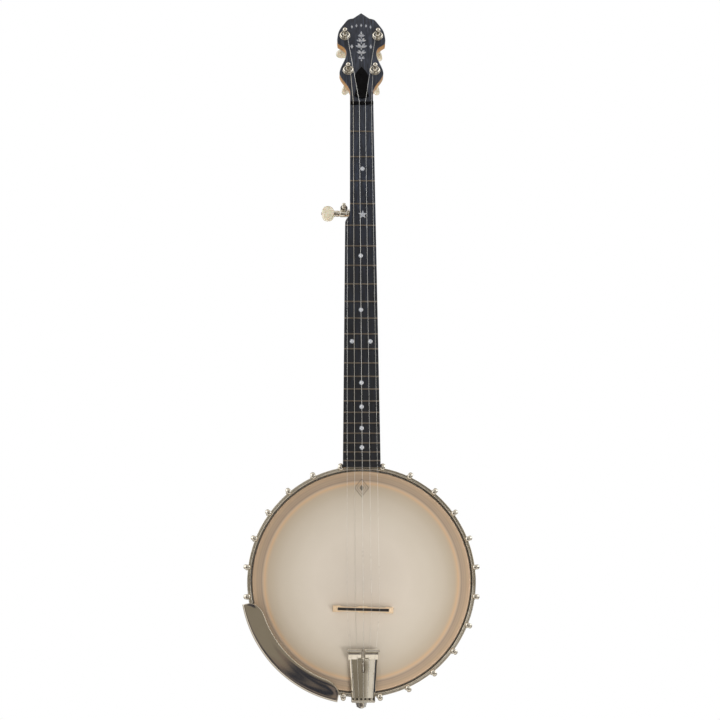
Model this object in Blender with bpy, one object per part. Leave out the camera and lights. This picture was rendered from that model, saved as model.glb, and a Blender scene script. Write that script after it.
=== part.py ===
"""An open-back five-string banjo, built as the separate pieces it comes apart into.

Metres. +Z runs from the pot to the peghead, the playing side faces -Y and the fifth peg is at -X.
The origin is where the centreline of the fingerboard's playing surface meets the nut.
"""

import math

import bmesh
import bpy
from mathutils import Matrix, Vector

GAP = 0.0003  # left between pieces that touch on the real instrument

# Strings and frets
SCALE_LENGTH = 0.66675
BRIDGE_Z = -SCALE_LENGTH - 0.0020  # set back a little, so that fretted notes sound in tune
FRET_COUNT = 22
FRET_WIDTH = 0.0018
FRET_HEIGHT = 0.0010
STRING_DIAMETERS = (0.00025, 0.00058, 0.00041, 0.00030, 0.00025)
NUT_SPACING = 0.00815
NUT_OFFSET = 0.0008
BRIDGE_SPACING = 0.0103
TAIL_SPACING = 0.0052
STRING_BAND_OFFSET = 0.0018
NUT_STRING_DEPTH = -0.0019
BRIDGE_STRING_DEPTH = -0.0064

# Fingerboard and neck
BOARD_THICKNESS = 0.0055
BOARD_END = -0.4878
NUT_HALF_WIDTH = 0.0157
END_HALF_WIDTH = 0.0244
SHOULDER_HALF_WIDTH = 0.0221
SHOULDER_TOP = -0.1530
SHOULDER_FOOT = -0.1640
WOOD_TOP = BOARD_THICKNESS + GAP
NUT_LENGTH = 0.0045
NUT_TOP = -0.0013
NUT_EDGE = 0.0004
# (distance below the nut, depth of wood behind the fingerboard)
NECK_DEPTHS = (
    (0.0, 0.0150),
    (0.030, 0.0152),
    (0.150, 0.0165),
    (0.330, 0.0185),
    (0.430, 0.0205),
    (0.445, 0.0235),
    (0.455, 0.0290),
    (0.463, 0.0370),
    (0.470, 0.0470),
    (0.476, 0.0560),
    (0.483, 0.0620),
    (0.497, 0.0640),
)
HEEL_START = 0.430
NECK_ROUNDNESS = 0.87
HEEL_ROUNDNESS = 1.12
NECK_POINTS = 12

# Peghead, tilted back behind the nut
PEGHEAD_TILT = math.radians(11)
PEGHEAD_FACE_DEPTH = 0.0036
OVERLAY_THICKNESS = 0.0020
PEGHEAD_THICKNESS = 0.0130
# (half width, height above the nut) up the right side of the outline, as smooth stretches between corners
PEGHEAD_SIDE = (
    ((0.0155, 0.0230), (0.0190, 0.0310), (0.0286, 0.0460), (0.0290, 0.0560), (0.0212, 0.0765),
     (0.0222, 0.0893), (0.0325, 0.0977)),
    ((0.0325, 0.0977), (0.0330, 0.1050), (0.0303, 0.1180), (0.0230, 0.1296), (0.0179, 0.1358),
     (0.0110, 0.1379)),
    ((0.0110, 0.1379), (0.0, 0.1464)),
)
PEGHEAD_FOOT = 0.0012
# The same for the truss rod cover
COVER_SIDE = (
    ((0.0100, 0.0140), (0.0083, 0.0220), (0.0076, 0.0320), (0.0091, 0.0450), (0.0048, 0.0540),
     (0.0, 0.0596)),
)
OUTLINE_STEPS = 2
COVER_FOOT = 0.0105
COVER_THICKNESS = 0.0020

# Planetary pegs, as depths along the peghead's normal (positive in front of its face)
# (string, distance from the centreline, height up the peghead, turn of the button)
PEG_PLACES = (
    ("fourth", -0.0182, 0.0548, math.radians(56)),
    ("third", -0.0225, 0.1096, math.radians(8)),
    ("second", 0.0225, 0.1096, math.radians(-56)),
    ("first", 0.0182, 0.0548, math.radians(-56)),
)
PEG_SIDES = 10
BARREL_RADIUS = 0.0046
CASE_RADIUS = 0.0070
BUSHING_RADIUS = 0.0073
BUSHING_TOP = 0.0035
CASE_END = -0.0340
POST_RADIUS = 0.0031
POST_WAIST = 0.0024
POST_TIP = 0.0175
POST_END = -0.0190
POST_BORE = 0.0036
SHAFT_RADIUS = 0.0020
SHAFT_BORE = 0.0025
BUTTON_START = -0.0365
BUTTON_LENGTH = 0.0170
BUTTON_HALF_WIDTH = 0.0120
BUTTON_HALF_THICKNESS = 0.0045
BUTTON_COLLAR_RADIUS = 0.0045
WINDING_HEIGHT = 0.0030

# Fifth peg, a worm peg in the side of the neck
FIFTH_AXIS = Vector((0.0, 0.0130, -0.1481))
FIFTH_TURN = math.radians(15)
FIFTH_FLANGE_X = -0.0162
FIFTH_BARREL_END = -0.0345
FIFTH_STUB_END = -0.0060
FIFTH_BARREL_RADIUS = 0.0042
FIFTH_STUB_RADIUS = 0.0036
FIFTH_POST_X = -0.0236
FIFTH_POST_RISE = 0.0060
FIFTH_CASE_RADIUS = 0.0050
FIFTH_CASE_FRONT = 0.0055
FIFTH_CASE_BACK = -0.0045
FIFTH_POST_TIP = 0.0150
FIFTH_NUT_X = -0.0192
FIFTH_NUT_Z = -0.1642
FIFTH_NUT_RADIUS = 0.0012
FIFTH_BUTTON_TURN = math.radians(84)
FIFTH_POST_RADIUS = 0.0027
FIFTH_POST_WAIST = 0.0019
FIFTH_POST_BORE = 0.0030
FIFTH_CASE_FLOOR = 0.0015
FIFTH_WINDING_HEIGHT = 0.0118

# Pot
POT_Z = -0.6320
POT_SEGMENTS = 64
HEAD_DEPTH = 0.0104
HEAD_THICKNESS = 0.0005
RIM_OUTER = 0.1397
RIM_INNER = 0.1225
RIM_FRONT = 0.0150
RIM_SEAT = 0.0203
RIM_BACK = 0.0764
RING_INNER = 0.1292
RING_OUTER = 0.1392
FLESH_OUTER = 0.1440
FLESH_FRONT = 0.0195
FLESH_BACK = 0.0235
HOOP_INNER = 0.1415
HOOP_OUTER = 0.1460
HOOP_FRONT = 0.0064
HOOP_BACK = FLESH_FRONT - GAP
GROOVE_RADIUS = 0.1439
GROOVE_HALF_WIDTH = 0.0012
GROOVE_DEPTH = 0.0020

# Brackets: a shoe bolted to the rim, its hook over the hoop, and the hook's nut
BRACKETS_PER_SIDE = 12
FIRST_BRACKET = math.radians(10.6)
BRACKET_STEP = math.radians(14.58)
HOOK_RADIUS = 0.0020
HOOK_SIDES = 6
HOOK_TIP_RADIUS = 0.0009
HOOK_CIRCLE = 0.1496
HOOK_CROWN_DEPTH = 0.0062
SHOE_DEPTH = 0.0500
SHOE_HALF_WIDTH = 0.0055
SHOE_HALF_HEIGHT = 0.0085
NUT_RADIUS = 0.0037
NUT_BACK = 0.0680
BOLT_RADIUS = 0.0022
BOLT_HOLE = 0.0026
BOLT_HEAD_RADIUS = 0.0046
BOLT_HEAD_LENGTH = 0.0040
SHOE_EYE_WIDTH = 0.72  # as a share of the shoe's half width
SHOE_EYE_HEIGHT = 0.62  # as a share of the shoe's half height

# Rod through the pot, with its lag in the heel and its bolt at the tail
ROD_DEPTH = 0.0460
ROD_RADIUS = 0.0048
ROD_NUT_RADIUS = 0.0065
ROD_NUT_LENGTH = 0.0060
TAIL_BOLT_RADIUS = 0.0055
TAIL_BOLT_LENGTH = 0.0040
LAG_RADIUS = 0.0030
LAG_HOLE = 0.0034
LAG_TOP = -0.4760

# Tailpiece and its hanger
PLATE_TOP = -0.7300
PLATE_FOOT = -0.7840
PLATE_TOP_HALF = 0.0182
PLATE_FOOT_HALF = 0.0148
PLATE_FRONT = 0.0030
PLATE_BACK = 0.0048
BAR_Z = -0.7198
CHEEK_THICKNESS = 0.0032
BAR_HALF_WIDTH = 0.0206
BAR_FRONT = -0.0042
BAR_BACK = -0.0012
HANGER_Z = -0.7865
HANGER_BOLT_RADIUS = 0.0020
HANGER_BOLT_HOLE = 0.0024
HANGER_BOLT_END = 0.0460
HANGER_ARM_DEPTH = 0.0300
HANGER_THICKNESS = 0.0024
HANGER_STRAP_THICKNESS = 0.0020
HANGER_HALF_WIDTH = 0.0080
HANGER_ARM_HALF_WIDTH = 0.0060
THUMB_NUT_RADIUS = 0.0075
THUMB_NUT_LENGTH = 0.0060
THUMB_NUT_EDGE = 0.0008
TAIL_STRING_DEPTH = 0.0024
TAIL_STRING_Z = PLATE_FOOT + 0.0032
BAR_STRING_DEPTH = -0.0005

# Armrest, as angles from the foot of the pot round towards -X
ARMREST_START = math.radians(11.5)
ARMREST_END = math.radians(78.6)
ARMREST_CLAMP = math.radians(45.6)
ARMREST_CORNER = math.radians(8.5)
ARMREST_CORNER_WIDTH = 0.0165
ARMREST_CREST = 0.1516
ARMREST_MIDDLE_STEPS = 9
ARMREST_THICKNESS = 0.0014
ARMREST_CLAMP_HALF_WIDTH = 0.0045
# (radius, depth) across the armrest's front, from its inner to its outer edge
ARMREST_SECTION = (
    (0.1302, 0.0012),
    (0.1306, -0.0016),
    (0.1326, -0.0031),
    (0.1480, -0.0023),
    (0.1516, -0.0020),
    (0.1541, 0.0004),
    (0.1548, 0.0060),
)

# Bridge
BRIDGE_FOOT_HALF = 0.0385
BRIDGE_TOP_HALF = 0.0328
BRIDGE_HEIGHT = 0.0159
BRIDGE_FOOT_THICKNESS = 0.0080
BRIDGE_TOP_THICKNESS = 0.0030
BRIDGE_SLANT = math.radians(1.6)
BRIDGE_ARCH_HEIGHT = 0.0075
BRIDGE_ARCH_START = 0.0055
BRIDGE_ARCH_END = 0.0290
BRIDGE_TOE_HEIGHT = 0.0030


def clear_scene():
    for obj in list(bpy.data.objects):
        bpy.data.objects.remove(obj)


def material(name, colour, roughness, metallic=0.0):
    made = bpy.data.materials.new(name)
    made.use_nodes = True
    shader = made.node_tree.nodes["Principled BSDF"]
    shader.inputs["Base Color"].default_value = (*colour, 1.0)
    shader.inputs["Roughness"].default_value = roughness
    shader.inputs["Metallic"].default_value = metallic
    return made


def add_object(name, mesh, finish, parent=None):
    obj = bpy.data.objects.new(name, mesh)
    bpy.context.scene.collection.objects.link(obj)
    if not mesh.materials:
        mesh.materials.append(finish)
    obj.parent = parent
    return obj


def solid(name, shape, finish, parent=None, smooth=False):
    """An object from a bmesh, with its faces turned outwards."""
    bmesh.ops.recalc_face_normals(shape, faces=shape.faces)
    mesh = bpy.data.meshes.new(name)
    shape.to_mesh(mesh)
    shape.free()
    if smooth:
        mesh.shade_smooth()
        mesh.set_sharp_from_angle(angle=math.radians(35))
    return add_object(name, mesh, finish, parent)


def empty(name, location, turn_x=0.0, parent=None):
    """A frame for other objects: turn_x tips its Y and Z axes about X."""
    obj = bpy.data.objects.new(name, None)
    bpy.context.scene.collection.objects.link(obj)
    obj.empty_display_size = 0.01
    obj.location = location
    obj.rotation_euler.x = turn_x
    obj.parent = parent
    return obj


def turned(profile, segments):
    """A closed outline of (radius, height) points turned about Z."""
    shape = bmesh.new()
    rings = []
    for radius, height in profile:
        if radius == 0:
            rings.append([shape.verts.new((0, 0, height))] * segments)
            continue
        angles = [2 * math.pi * index / segments for index in range(segments)]
        rings.append([shape.verts.new((radius * math.cos(a), radius * math.sin(a), height)) for a in angles])
    for first, second in zip(rings, rings[1:] + rings[:1]):
        for index in range(segments):
            after = (index + 1) % segments
            corners = dict.fromkeys((first[index], first[after], second[after], second[index]))
            if len(corners) > 2:
                shape.faces.new(corners)
    return shape


def lofted(rings):
    """A solid through rings of points, closed by a face at each end."""
    shape = bmesh.new()
    loops = [[shape.verts.new(point) for point in ring] for ring in rings]
    for first, second in zip(loops, loops[1:]):
        for index in range(len(first)):
            after = (index + 1) % len(first)
            shape.faces.new((first[index], first[after], second[after], second[index]))
    shape.faces.new(loops[0])
    shape.faces.new(loops[-1])
    return shape


def prism(outline, low, high):
    """An outline of (x, y) points raised from low to high along Z."""
    return lofted([[(x, y, height) for x, y in outline] for height in (low, high)])


def block(low, high):
    outline = ((low[0], low[1]), (high[0], low[1]), (high[0], high[1]), (low[0], high[1]))
    return prism(outline, low[2], high[2])


def swept(path, radii, sides):
    """A round rod along a path of points, with its own radius at each."""
    path = [Vector(point) for point in path]
    side = (path[1] - path[0]).orthogonal().normalized()
    rings = []
    for index, (point, radius) in enumerate(zip(path, radii)):
        ahead = (path[min(index + 1, len(path) - 1)] - path[max(index - 1, 0)]).normalized()
        side = (side - ahead * side.dot(ahead)).normalized()
        across = ahead.cross(side)
        angles = [2 * math.pi * step / sides for step in range(sides)]
        rings.append([point + radius * (math.cos(a) * side + math.sin(a) * across) for a in angles])
    return lofted(rings)


def bar_between(radius, start, end, sides):
    """A plain round bar between two points."""
    start = Vector(start)
    end = Vector(end)
    turn = (end - start).to_track_quat("Z", "Y").to_matrix().to_4x4()
    length = (end - start).length
    shape = turned(((0, 0), (radius, 0), (radius, length), (0, length)), sides)
    shape.transform(Matrix.Translation(start) @ turn)
    return shape


def helper(name, shape):
    """A cutter, or a shape to be joined to another: it isn't part of the banjo."""
    obj = solid(name, shape, None)
    obj.hide_render = True
    obj.display_type = "WIRE"
    return obj


def combined(base, shapes, operation):
    """Joins bmesh shapes to an object, or cuts them from it, in the object's own frame."""
    helpers = []
    for number, shape in enumerate(shapes):
        other = helper(f"{base.name}_{operation.lower()}_{number}", shape)
        other.matrix_world = base.matrix_world
        helpers.append(other)
        modifier = base.modifiers.new(other.name, "BOOLEAN")
        modifier.operation = operation
        modifier.solver = "EXACT"
        modifier.object = other
    bpy.context.view_layer.update()
    result = bpy.data.meshes.new_from_object(base.evaluated_get(bpy.context.evaluated_depsgraph_get()))
    finish = base.data.materials[0]
    base.modifiers.clear()
    base.data = result
    base.data.name = base.name
    result.materials.clear()
    result.materials.append(finish)
    for face in result.polygons:
        face.material_index = 0
    for other in helpers:
        bpy.data.objects.remove(other)
    return base


def between(value, points):
    """The height at a value along a list of (value, height) points, joined by straight lines."""
    for (low, first), (high, second) in zip(points, points[1:]):
        if value <= high:
            share = (value - low) / (high - low)
            return first + (second - first) * max(share, 0.0)
    return points[-1][1]


def fret_distance(number):
    return SCALE_LENGTH * (1 - 2 ** (-number / 12))


def right_edge(z):
    return NUT_HALF_WIDTH + (END_HALF_WIDTH - NUT_HALF_WIDTH) * z / BOARD_END


def left_edge(z):
    """The edge on the fifth peg's side: parallel to the centreline down to the fifth string's shoulder."""
    if z > SHOULDER_TOP:
        return -NUT_HALF_WIDTH
    if z > SHOULDER_FOOT:
        share = (SHOULDER_TOP - z) / (SHOULDER_TOP - SHOULDER_FOOT)
        eased = math.sin(share * math.pi / 2)
        return -(NUT_HALF_WIDTH + (SHOULDER_HALF_WIDTH - NUT_HALF_WIDTH) * eased)
    share = (SHOULDER_FOOT - z) / (SHOULDER_FOOT - BOARD_END)
    return -(SHOULDER_HALF_WIDTH + (END_HALF_WIDTH - SHOULDER_HALF_WIDTH) * share)


def shoulder_stations():
    return [SHOULDER_TOP + (SHOULDER_FOOT - SHOULDER_TOP) * step / 4 for step in range(5)]


def neck_section(z, top, depth, roundness, narrowing=1.0):
    """A flat-topped, round-backed section of the neck."""
    ring = []
    for step in range(NECK_POINTS + 1):
        angle = math.pi * step / NECK_POINTS
        edge = right_edge(z) if angle < math.pi / 2 else -left_edge(z)
        reach = math.copysign(abs(math.cos(angle)) ** roundness, math.cos(angle))
        ring.append((edge * reach * narrowing, top + depth * math.sin(angle) ** roundness, z))
    return ring


def neck_shaft():
    """The neck from just above the nut down to the heel's end, inside the rim's outline."""
    rings = []
    under_overlay = PEGHEAD_FACE_DEPTH + OVERLAY_THICKNESS + 2 * GAP
    for height, back, narrowing in ((0.022, 0.0196, 0.70), (0.012, 0.0200, 0.86), (NUT_LENGTH, 0.0208, 1.0)):
        top = max(under_overlay + height * math.tan(PEGHEAD_TILT), WOOD_TOP + GAP)
        ring = neck_section(0.0, top, back - top, NECK_ROUNDNESS, narrowing)
        rings.append([(x, y, height) for x, y, _ in ring])
    places = [-distance for distance, _ in NECK_DEPTHS] + shoulder_stations()
    for z in sorted(places, reverse=True):
        roundness = HEEL_ROUNDNESS if -z > HEEL_START else NECK_ROUNDNESS
        rings.append(neck_section(z, WOOD_TOP, between(-z, NECK_DEPTHS), roundness))
    return lofted(rings)


def smooth_curve(points):
    """Points along a smooth curve (Catmull-Rom) through the given ones, without its last."""
    points = [Vector(point) for point in points]
    padded = [2 * points[0] - points[1], *points, 2 * points[-1] - points[-2]]
    curve = []
    for before, start, end, after in zip(padded, padded[1:], padded[2:], padded[3:]):
        for step in range(OUTLINE_STEPS):
            t = step / OUTLINE_STEPS
            square = (2 * before - 5 * start + 4 * end - after) * t**2
            cube = (3 * (start - end) + after - before) * t**3
            curve.append(start + ((end - before) * t + square + cube) / 2)
    return curve


def mirrored(stretches, foot):
    """A whole outline from the stretches of its right side, which end on the centreline."""
    right = [Vector(point) for point in foot]
    for points in stretches:
        right += [points[0]] if len(points) == 2 else smooth_curve(points)
    tip = stretches[-1][-1]
    return [*right, tip, *[(-x, y) for x, y in reversed([tuple(point) for point in right])]]


def peghead_matrix():
    """From the peghead's frame (x, up its face, out of its face) to the world."""
    return Matrix.Translation((0, PEGHEAD_FACE_DEPTH, 0)) @ Matrix.Rotation(
        math.pi / 2 - PEGHEAD_TILT, 4, "X"
    )


def in_world(shape, frame):
    shape.transform(frame)
    return shape


def peg_holes(frame):
    holes = []
    for _, x, height, _ in PEG_PLACES:
        hole = bar_between(BARREL_RADIUS + GAP, (x, height, -0.02), (x, height, 0.01), PEG_SIDES)
        holes.append(in_world(hole, frame))
    return holes


def make_neck(finish):
    frame = peghead_matrix()
    neck = solid("neck", neck_shaft(), finish)
    outline = mirrored(PEGHEAD_SIDE, [(NUT_HALF_WIDTH - GAP, PEGHEAD_FOOT)])
    peghead = prism(outline, -PEGHEAD_THICKNESS, -OVERLAY_THICKNESS - GAP)
    combined(neck, [in_world(peghead, frame)], "UNION")
    clearance = turned(
        ((0, -0.01), (HOOP_OUTER + GAP, -0.01), (HOOP_OUTER + GAP, FLESH_BACK + GAP),
         (RIM_OUTER + GAP, FLESH_BACK + GAP), (RIM_OUTER + GAP, 0.09), (0, 0.09)), POT_SEGMENTS)
    pot_frame = Matrix.Translation((0, 0, POT_Z)) @ Matrix.Rotation(-math.pi / 2, 4, "X")
    lag = bar_between(LAG_HOLE, (0, ROD_DEPTH, -0.52), (0, ROD_DEPTH, LAG_TOP + GAP), PEG_SIDES)
    stub_start = (-0.03, FIFTH_AXIS.y, FIFTH_AXIS.z)
    stub_end = (FIFTH_STUB_END + GAP, FIFTH_AXIS.y, FIFTH_AXIS.z)
    stub = bar_between(FIFTH_STUB_RADIUS + GAP, stub_start, stub_end, PEG_SIDES)
    combined(neck, [in_world(clearance, pot_frame), lag, stub, *peg_holes(frame)], "DIFFERENCE")
    return neck


def make_fingerboard(finish):
    """The board with its frets, whose tangs are pressed into it."""
    right = [(right_edge(-GAP), -GAP), (right_edge(BOARD_END), BOARD_END)]
    left = [(left_edge(BOARD_END), BOARD_END)]
    left += [(left_edge(z), z) for z in reversed(shoulder_stations())]
    left += [(left_edge(-GAP), -GAP)]
    shape = prism(right + left, -BOARD_THICKNESS, 0.0)
    board = solid("fingerboard", in_world(shape, Matrix.Rotation(math.pi / 2, 4, "X")), finish)
    frets = []
    for number in range(1, FRET_COUNT + 1):
        z = -fret_distance(number)
        half = FRET_WIDTH / 2
        section = ((0.0008, -half), (-0.0002, -half), (-FRET_HEIGHT, 0.0), (-0.0002, half), (0.0008, half))
        ends = (left_edge(z) + GAP, right_edge(z) - GAP)
        frets.append(lofted([[(x, depth, z + along) for depth, along in section] for x in ends]))
    return combined(board, frets, "UNION")


def make_peghead_trim(overlay_finish, cover_finish, frame):
    outline = mirrored(PEGHEAD_SIDE, [(NUT_HALF_WIDTH - GAP, NUT_LENGTH + GAP)])
    overlay = solid("peghead_overlay", prism(outline, -OVERLAY_THICKNESS, 0.0), overlay_finish, frame)
    bpy.context.view_layer.update()
    combined(overlay, peg_holes(Matrix.Identity(4)), "DIFFERENCE")
    cover_outline = [(0.0, COVER_FOOT), *mirrored(COVER_SIDE, [])]
    solid("truss_rod_cover", prism(cover_outline, GAP, GAP + COVER_THICKNESS), cover_finish, frame)


def make_nuts(finish):
    half = NUT_HALF_WIDTH
    low = (-half, NUT_TOP, 0.0)
    high = (half, BOARD_THICKNESS, NUT_LENGTH)
    nut = solid("nut", block(low, high), finish)
    bevel = nut.modifiers.new("worn edges", "BEVEL")
    bevel.width = NUT_EDGE
    bevel.segments = 1
    bevel.limit_method = "ANGLE"
    x = string_x(0, FIFTH_NUT_Z)
    pip_top = NUT_STRING_DEPTH + 2 * GAP
    pip = bar_between(FIFTH_NUT_RADIUS, (x, -GAP, FIFTH_NUT_Z), (x, pip_top, FIFTH_NUT_Z), PEG_SIDES)
    solid("fifth_string_nut", pip, finish)


def string_x(number, z):
    """How far a string lies from the centreline: string 0 is the fifth, 1 the fourth and so on."""
    step = number - 2
    bridge = STRING_BAND_OFFSET + BRIDGE_SPACING * step
    if z < BRIDGE_Z:
        foot = STRING_BAND_OFFSET + TAIL_SPACING * step
        share = (BRIDGE_Z - z) / (BRIDGE_Z - PLATE_FOOT)
        return bridge + (foot - bridge) * share
    if number == 0:
        return FIFTH_NUT_X + (bridge - FIFTH_NUT_X) * (FIFTH_NUT_Z - z) / (FIFTH_NUT_Z - BRIDGE_Z)
    nut = NUT_OFFSET + NUT_SPACING * (step - 0.5)
    return nut + (bridge - nut) * z / BRIDGE_Z


def string_depth(z):
    share = z / BRIDGE_Z
    return NUT_STRING_DEPTH + (BRIDGE_STRING_DEPTH - NUT_STRING_DEPTH) * share


def post_contact(number):
    """Where a string leaves its post: on the side that faces the peghead's middle, just clear of the post."""
    _, x, height, _ = PEG_PLACES[number - 1]
    inward = -math.copysign(POST_WAIST + 3 * GAP, x)
    return peghead_matrix() @ Vector((x + inward, height - 0.001, BUSHING_TOP + WINDING_HEIGHT))


def string_path(number):
    below = [(string_x(number, z), z) for z in (BRIDGE_Z, BAR_Z, TAIL_STRING_Z)]
    depths = (BRIDGE_STRING_DEPTH, BAR_STRING_DEPTH, TAIL_STRING_DEPTH)
    tail = [(x, depth, z) for (x, z), depth in zip(below, depths)]
    if number == 0:
        start = fifth_frame() @ Vector((FIFTH_POST_X + POST_WAIST + 3 * GAP, FIFTH_POST_RISE, 0.0))
        start += fifth_normal() * FIFTH_WINDING_HEIGHT
        rest = [(string_x(0, FIFTH_NUT_Z), string_depth(FIFTH_NUT_Z), FIFTH_NUT_Z)]
        return [start, *rest, *tail]
    at_nut = [(string_x(number, z), NUT_STRING_DEPTH, z) for z in (NUT_LENGTH, 0.0)]
    return [post_contact(number), *at_nut, *tail]


def make_strings(plain, wound):
    names = ("string_5", "string_4", "string_3", "string_2", "string_1")
    for number, name in enumerate(names):
        path = string_path(number)
        shape = swept(path, [STRING_DIAMETERS[number] / 2] * len(path), 6)
        solid(name, shape, wound if number == 1 else plain, smooth=True)


def button_shape(shaft_start):
    """A shaft, its collar and the oval button behind it, along -Z from the peg's own origin."""
    wide = BUTTON_HALF_WIDTH
    thick = BUTTON_HALF_THICKNESS
    collar = CASE_END - GAP
    # (height, half width, half thickness)
    stations = [
        (shaft_start, SHAFT_RADIUS, SHAFT_RADIUS),
        (collar, SHAFT_RADIUS, SHAFT_RADIUS),
        (collar, BUTTON_COLLAR_RADIUS, BUTTON_COLLAR_RADIUS),
        (BUTTON_START, BUTTON_COLLAR_RADIUS, BUTTON_COLLAR_RADIUS),
        (BUTTON_START - 0.0030, wide * 0.80, thick * 0.95),
        (BUTTON_START - BUTTON_LENGTH * 0.45, wide, thick),
        (BUTTON_START - BUTTON_LENGTH * 0.80, wide * 0.78, thick * 0.90),
        (BUTTON_START - BUTTON_LENGTH, wide * 0.30, thick * 0.55),
    ]
    rings = []
    for height, half_width, half_thickness in stations:
        angles = [2 * math.pi * index / PEG_SIDES for index in range(PEG_SIDES)]
        rings.append([(half_width * math.cos(a), half_thickness * math.sin(a), height) for a in angles])
    return lofted(rings)


def post_shape():
    profile = (
        (0, POST_TIP), (POST_RADIUS * 0.7, POST_TIP), (POST_RADIUS, POST_TIP - 0.0010),
        (POST_RADIUS, BUSHING_TOP + 0.0070), (POST_WAIST, BUSHING_TOP + 0.0050),
        (POST_WAIST, BUSHING_TOP + 0.0020), (POST_RADIUS, BUSHING_TOP + 0.0006),
        (POST_RADIUS, POST_END), (0, POST_END),
    )
    return turned(profile, PEG_SIDES)


def housing_shape():
    """The gear case, its barrel and the bushing on the face, bored for the post and the shaft."""
    profile = (
        (POST_BORE, BUSHING_TOP), (BUSHING_RADIUS * 0.85, BUSHING_TOP),
        (BUSHING_RADIUS, BUSHING_TOP - 0.0010), (BUSHING_RADIUS, GAP), (BARREL_RADIUS, GAP),
        (BARREL_RADIUS, -PEGHEAD_THICKNESS - GAP),
        (CASE_RADIUS, -PEGHEAD_THICKNESS - GAP), (CASE_RADIUS, CASE_END + 0.0015),
        (CASE_RADIUS * 0.80, CASE_END), (SHAFT_BORE, CASE_END), (SHAFT_BORE, POST_END - 0.0010),
        (POST_BORE, POST_END - 0.0006),
    )
    return turned(profile, PEG_SIDES)


def make_planetary_pegs(metal, pearl, frame):
    for name, x, height, turn in PEG_PLACES:
        axis = empty(f"peg_{name}_axis", (x, height, 0), parent=frame)
        solid(f"peg_{name}_housing", housing_shape(), metal, axis, smooth=True)
        solid(f"peg_{name}_post", post_shape(), metal, axis, smooth=True)
        button = solid(f"peg_{name}_button", button_shape(POST_END - 0.0012), pearl, axis, smooth=True)
        button.rotation_euler.z = turn


def fifth_frame():
    """The fifth peg's frame: X along the worm, Z out of the post, turned a little towards the peghead."""
    return Matrix.Translation(FIFTH_AXIS) @ Matrix.Rotation(math.pi / 2 - FIFTH_TURN, 4, "X")


def fifth_normal():
    return Vector((0, -math.cos(FIFTH_TURN), math.sin(FIFTH_TURN)))


def make_fifth_peg(metal, pearl):
    frame = empty("peg_fifth_frame", FIFTH_AXIS, math.pi / 2 - FIFTH_TURN)
    x = FIFTH_POST_X
    y = FIFTH_POST_RISE
    floor = FIFTH_CASE_BACK + FIFTH_CASE_FLOOR
    barrel = bar_between(FIFTH_BARREL_RADIUS, (FIFTH_BARREL_END, 0, 0), (FIFTH_FLANGE_X, 0, 0), PEG_SIDES)
    housing = solid("peg_fifth_housing", barrel, metal, frame, smooth=True)
    stub = bar_between(FIFTH_STUB_RADIUS, (FIFTH_FLANGE_X - 0.002, 0, 0), (FIFTH_STUB_END, 0, 0), PEG_SIDES)
    case = bar_between(FIFTH_CASE_RADIUS, (x, y, FIFTH_CASE_BACK), (x, y, FIFTH_CASE_FRONT), PEG_SIDES)
    bpy.context.view_layer.update()
    combined(housing, [stub, case], "UNION")
    post_bore = bar_between(FIFTH_POST_BORE, (x, y, floor), (x, y, 2 * FIFTH_CASE_FRONT), PEG_SIDES)
    shaft_end = x - 0.0045
    shaft_bore = bar_between(SHAFT_BORE, (FIFTH_BARREL_END - 0.01, 0, 0), (shaft_end, 0, 0), PEG_SIDES)
    combined(housing, [post_bore, shaft_bore], "DIFFERENCE")

    post_axis = empty("peg_fifth_post_axis", (x, y, 0), parent=frame)
    tip = FIFTH_POST_TIP
    radius = FIFTH_POST_RADIUS
    waist = FIFTH_POST_WAIST
    post_profile = (
        (0, tip), (radius * 0.8, tip), (radius, tip - 0.0008), (radius, tip - 0.0018), (waist, tip - 0.0026),
        (waist, FIFTH_CASE_FRONT + 0.0028), (radius, FIFTH_CASE_FRONT + 0.0018), (radius, floor + GAP),
        (0, floor + GAP),
    )
    solid("peg_fifth_post", turned(post_profile, PEG_SIDES), metal, post_axis, smooth=True)

    # The button is made along -Z, so its own frame turns -Z towards -X.
    shape = button_shape(CASE_END + 0.0050)
    shape.transform(Matrix.Translation((FIFTH_BARREL_END, 0, 0)) @ Matrix.Rotation(math.pi / 2, 4, "Y")
                    @ Matrix.Rotation(FIFTH_BUTTON_TURN, 4, "Z") @ Matrix.Translation((0, 0, -CASE_END)))
    solid("peg_fifth_button", shape, pearl, frame, smooth=True)


def rim_hole(angle, depth, radius, sides):
    """A cutter right through the rim, at an angle from the neck's side."""
    outward = Vector((math.sin(angle), -math.cos(angle), 0))
    middle = Vector((0, 0, depth))
    start = middle + outward * (RIM_INNER - 0.01)
    end = middle + outward * (RIM_OUTER + 0.01)
    return bar_between(radius, start, end, sides)


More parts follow.
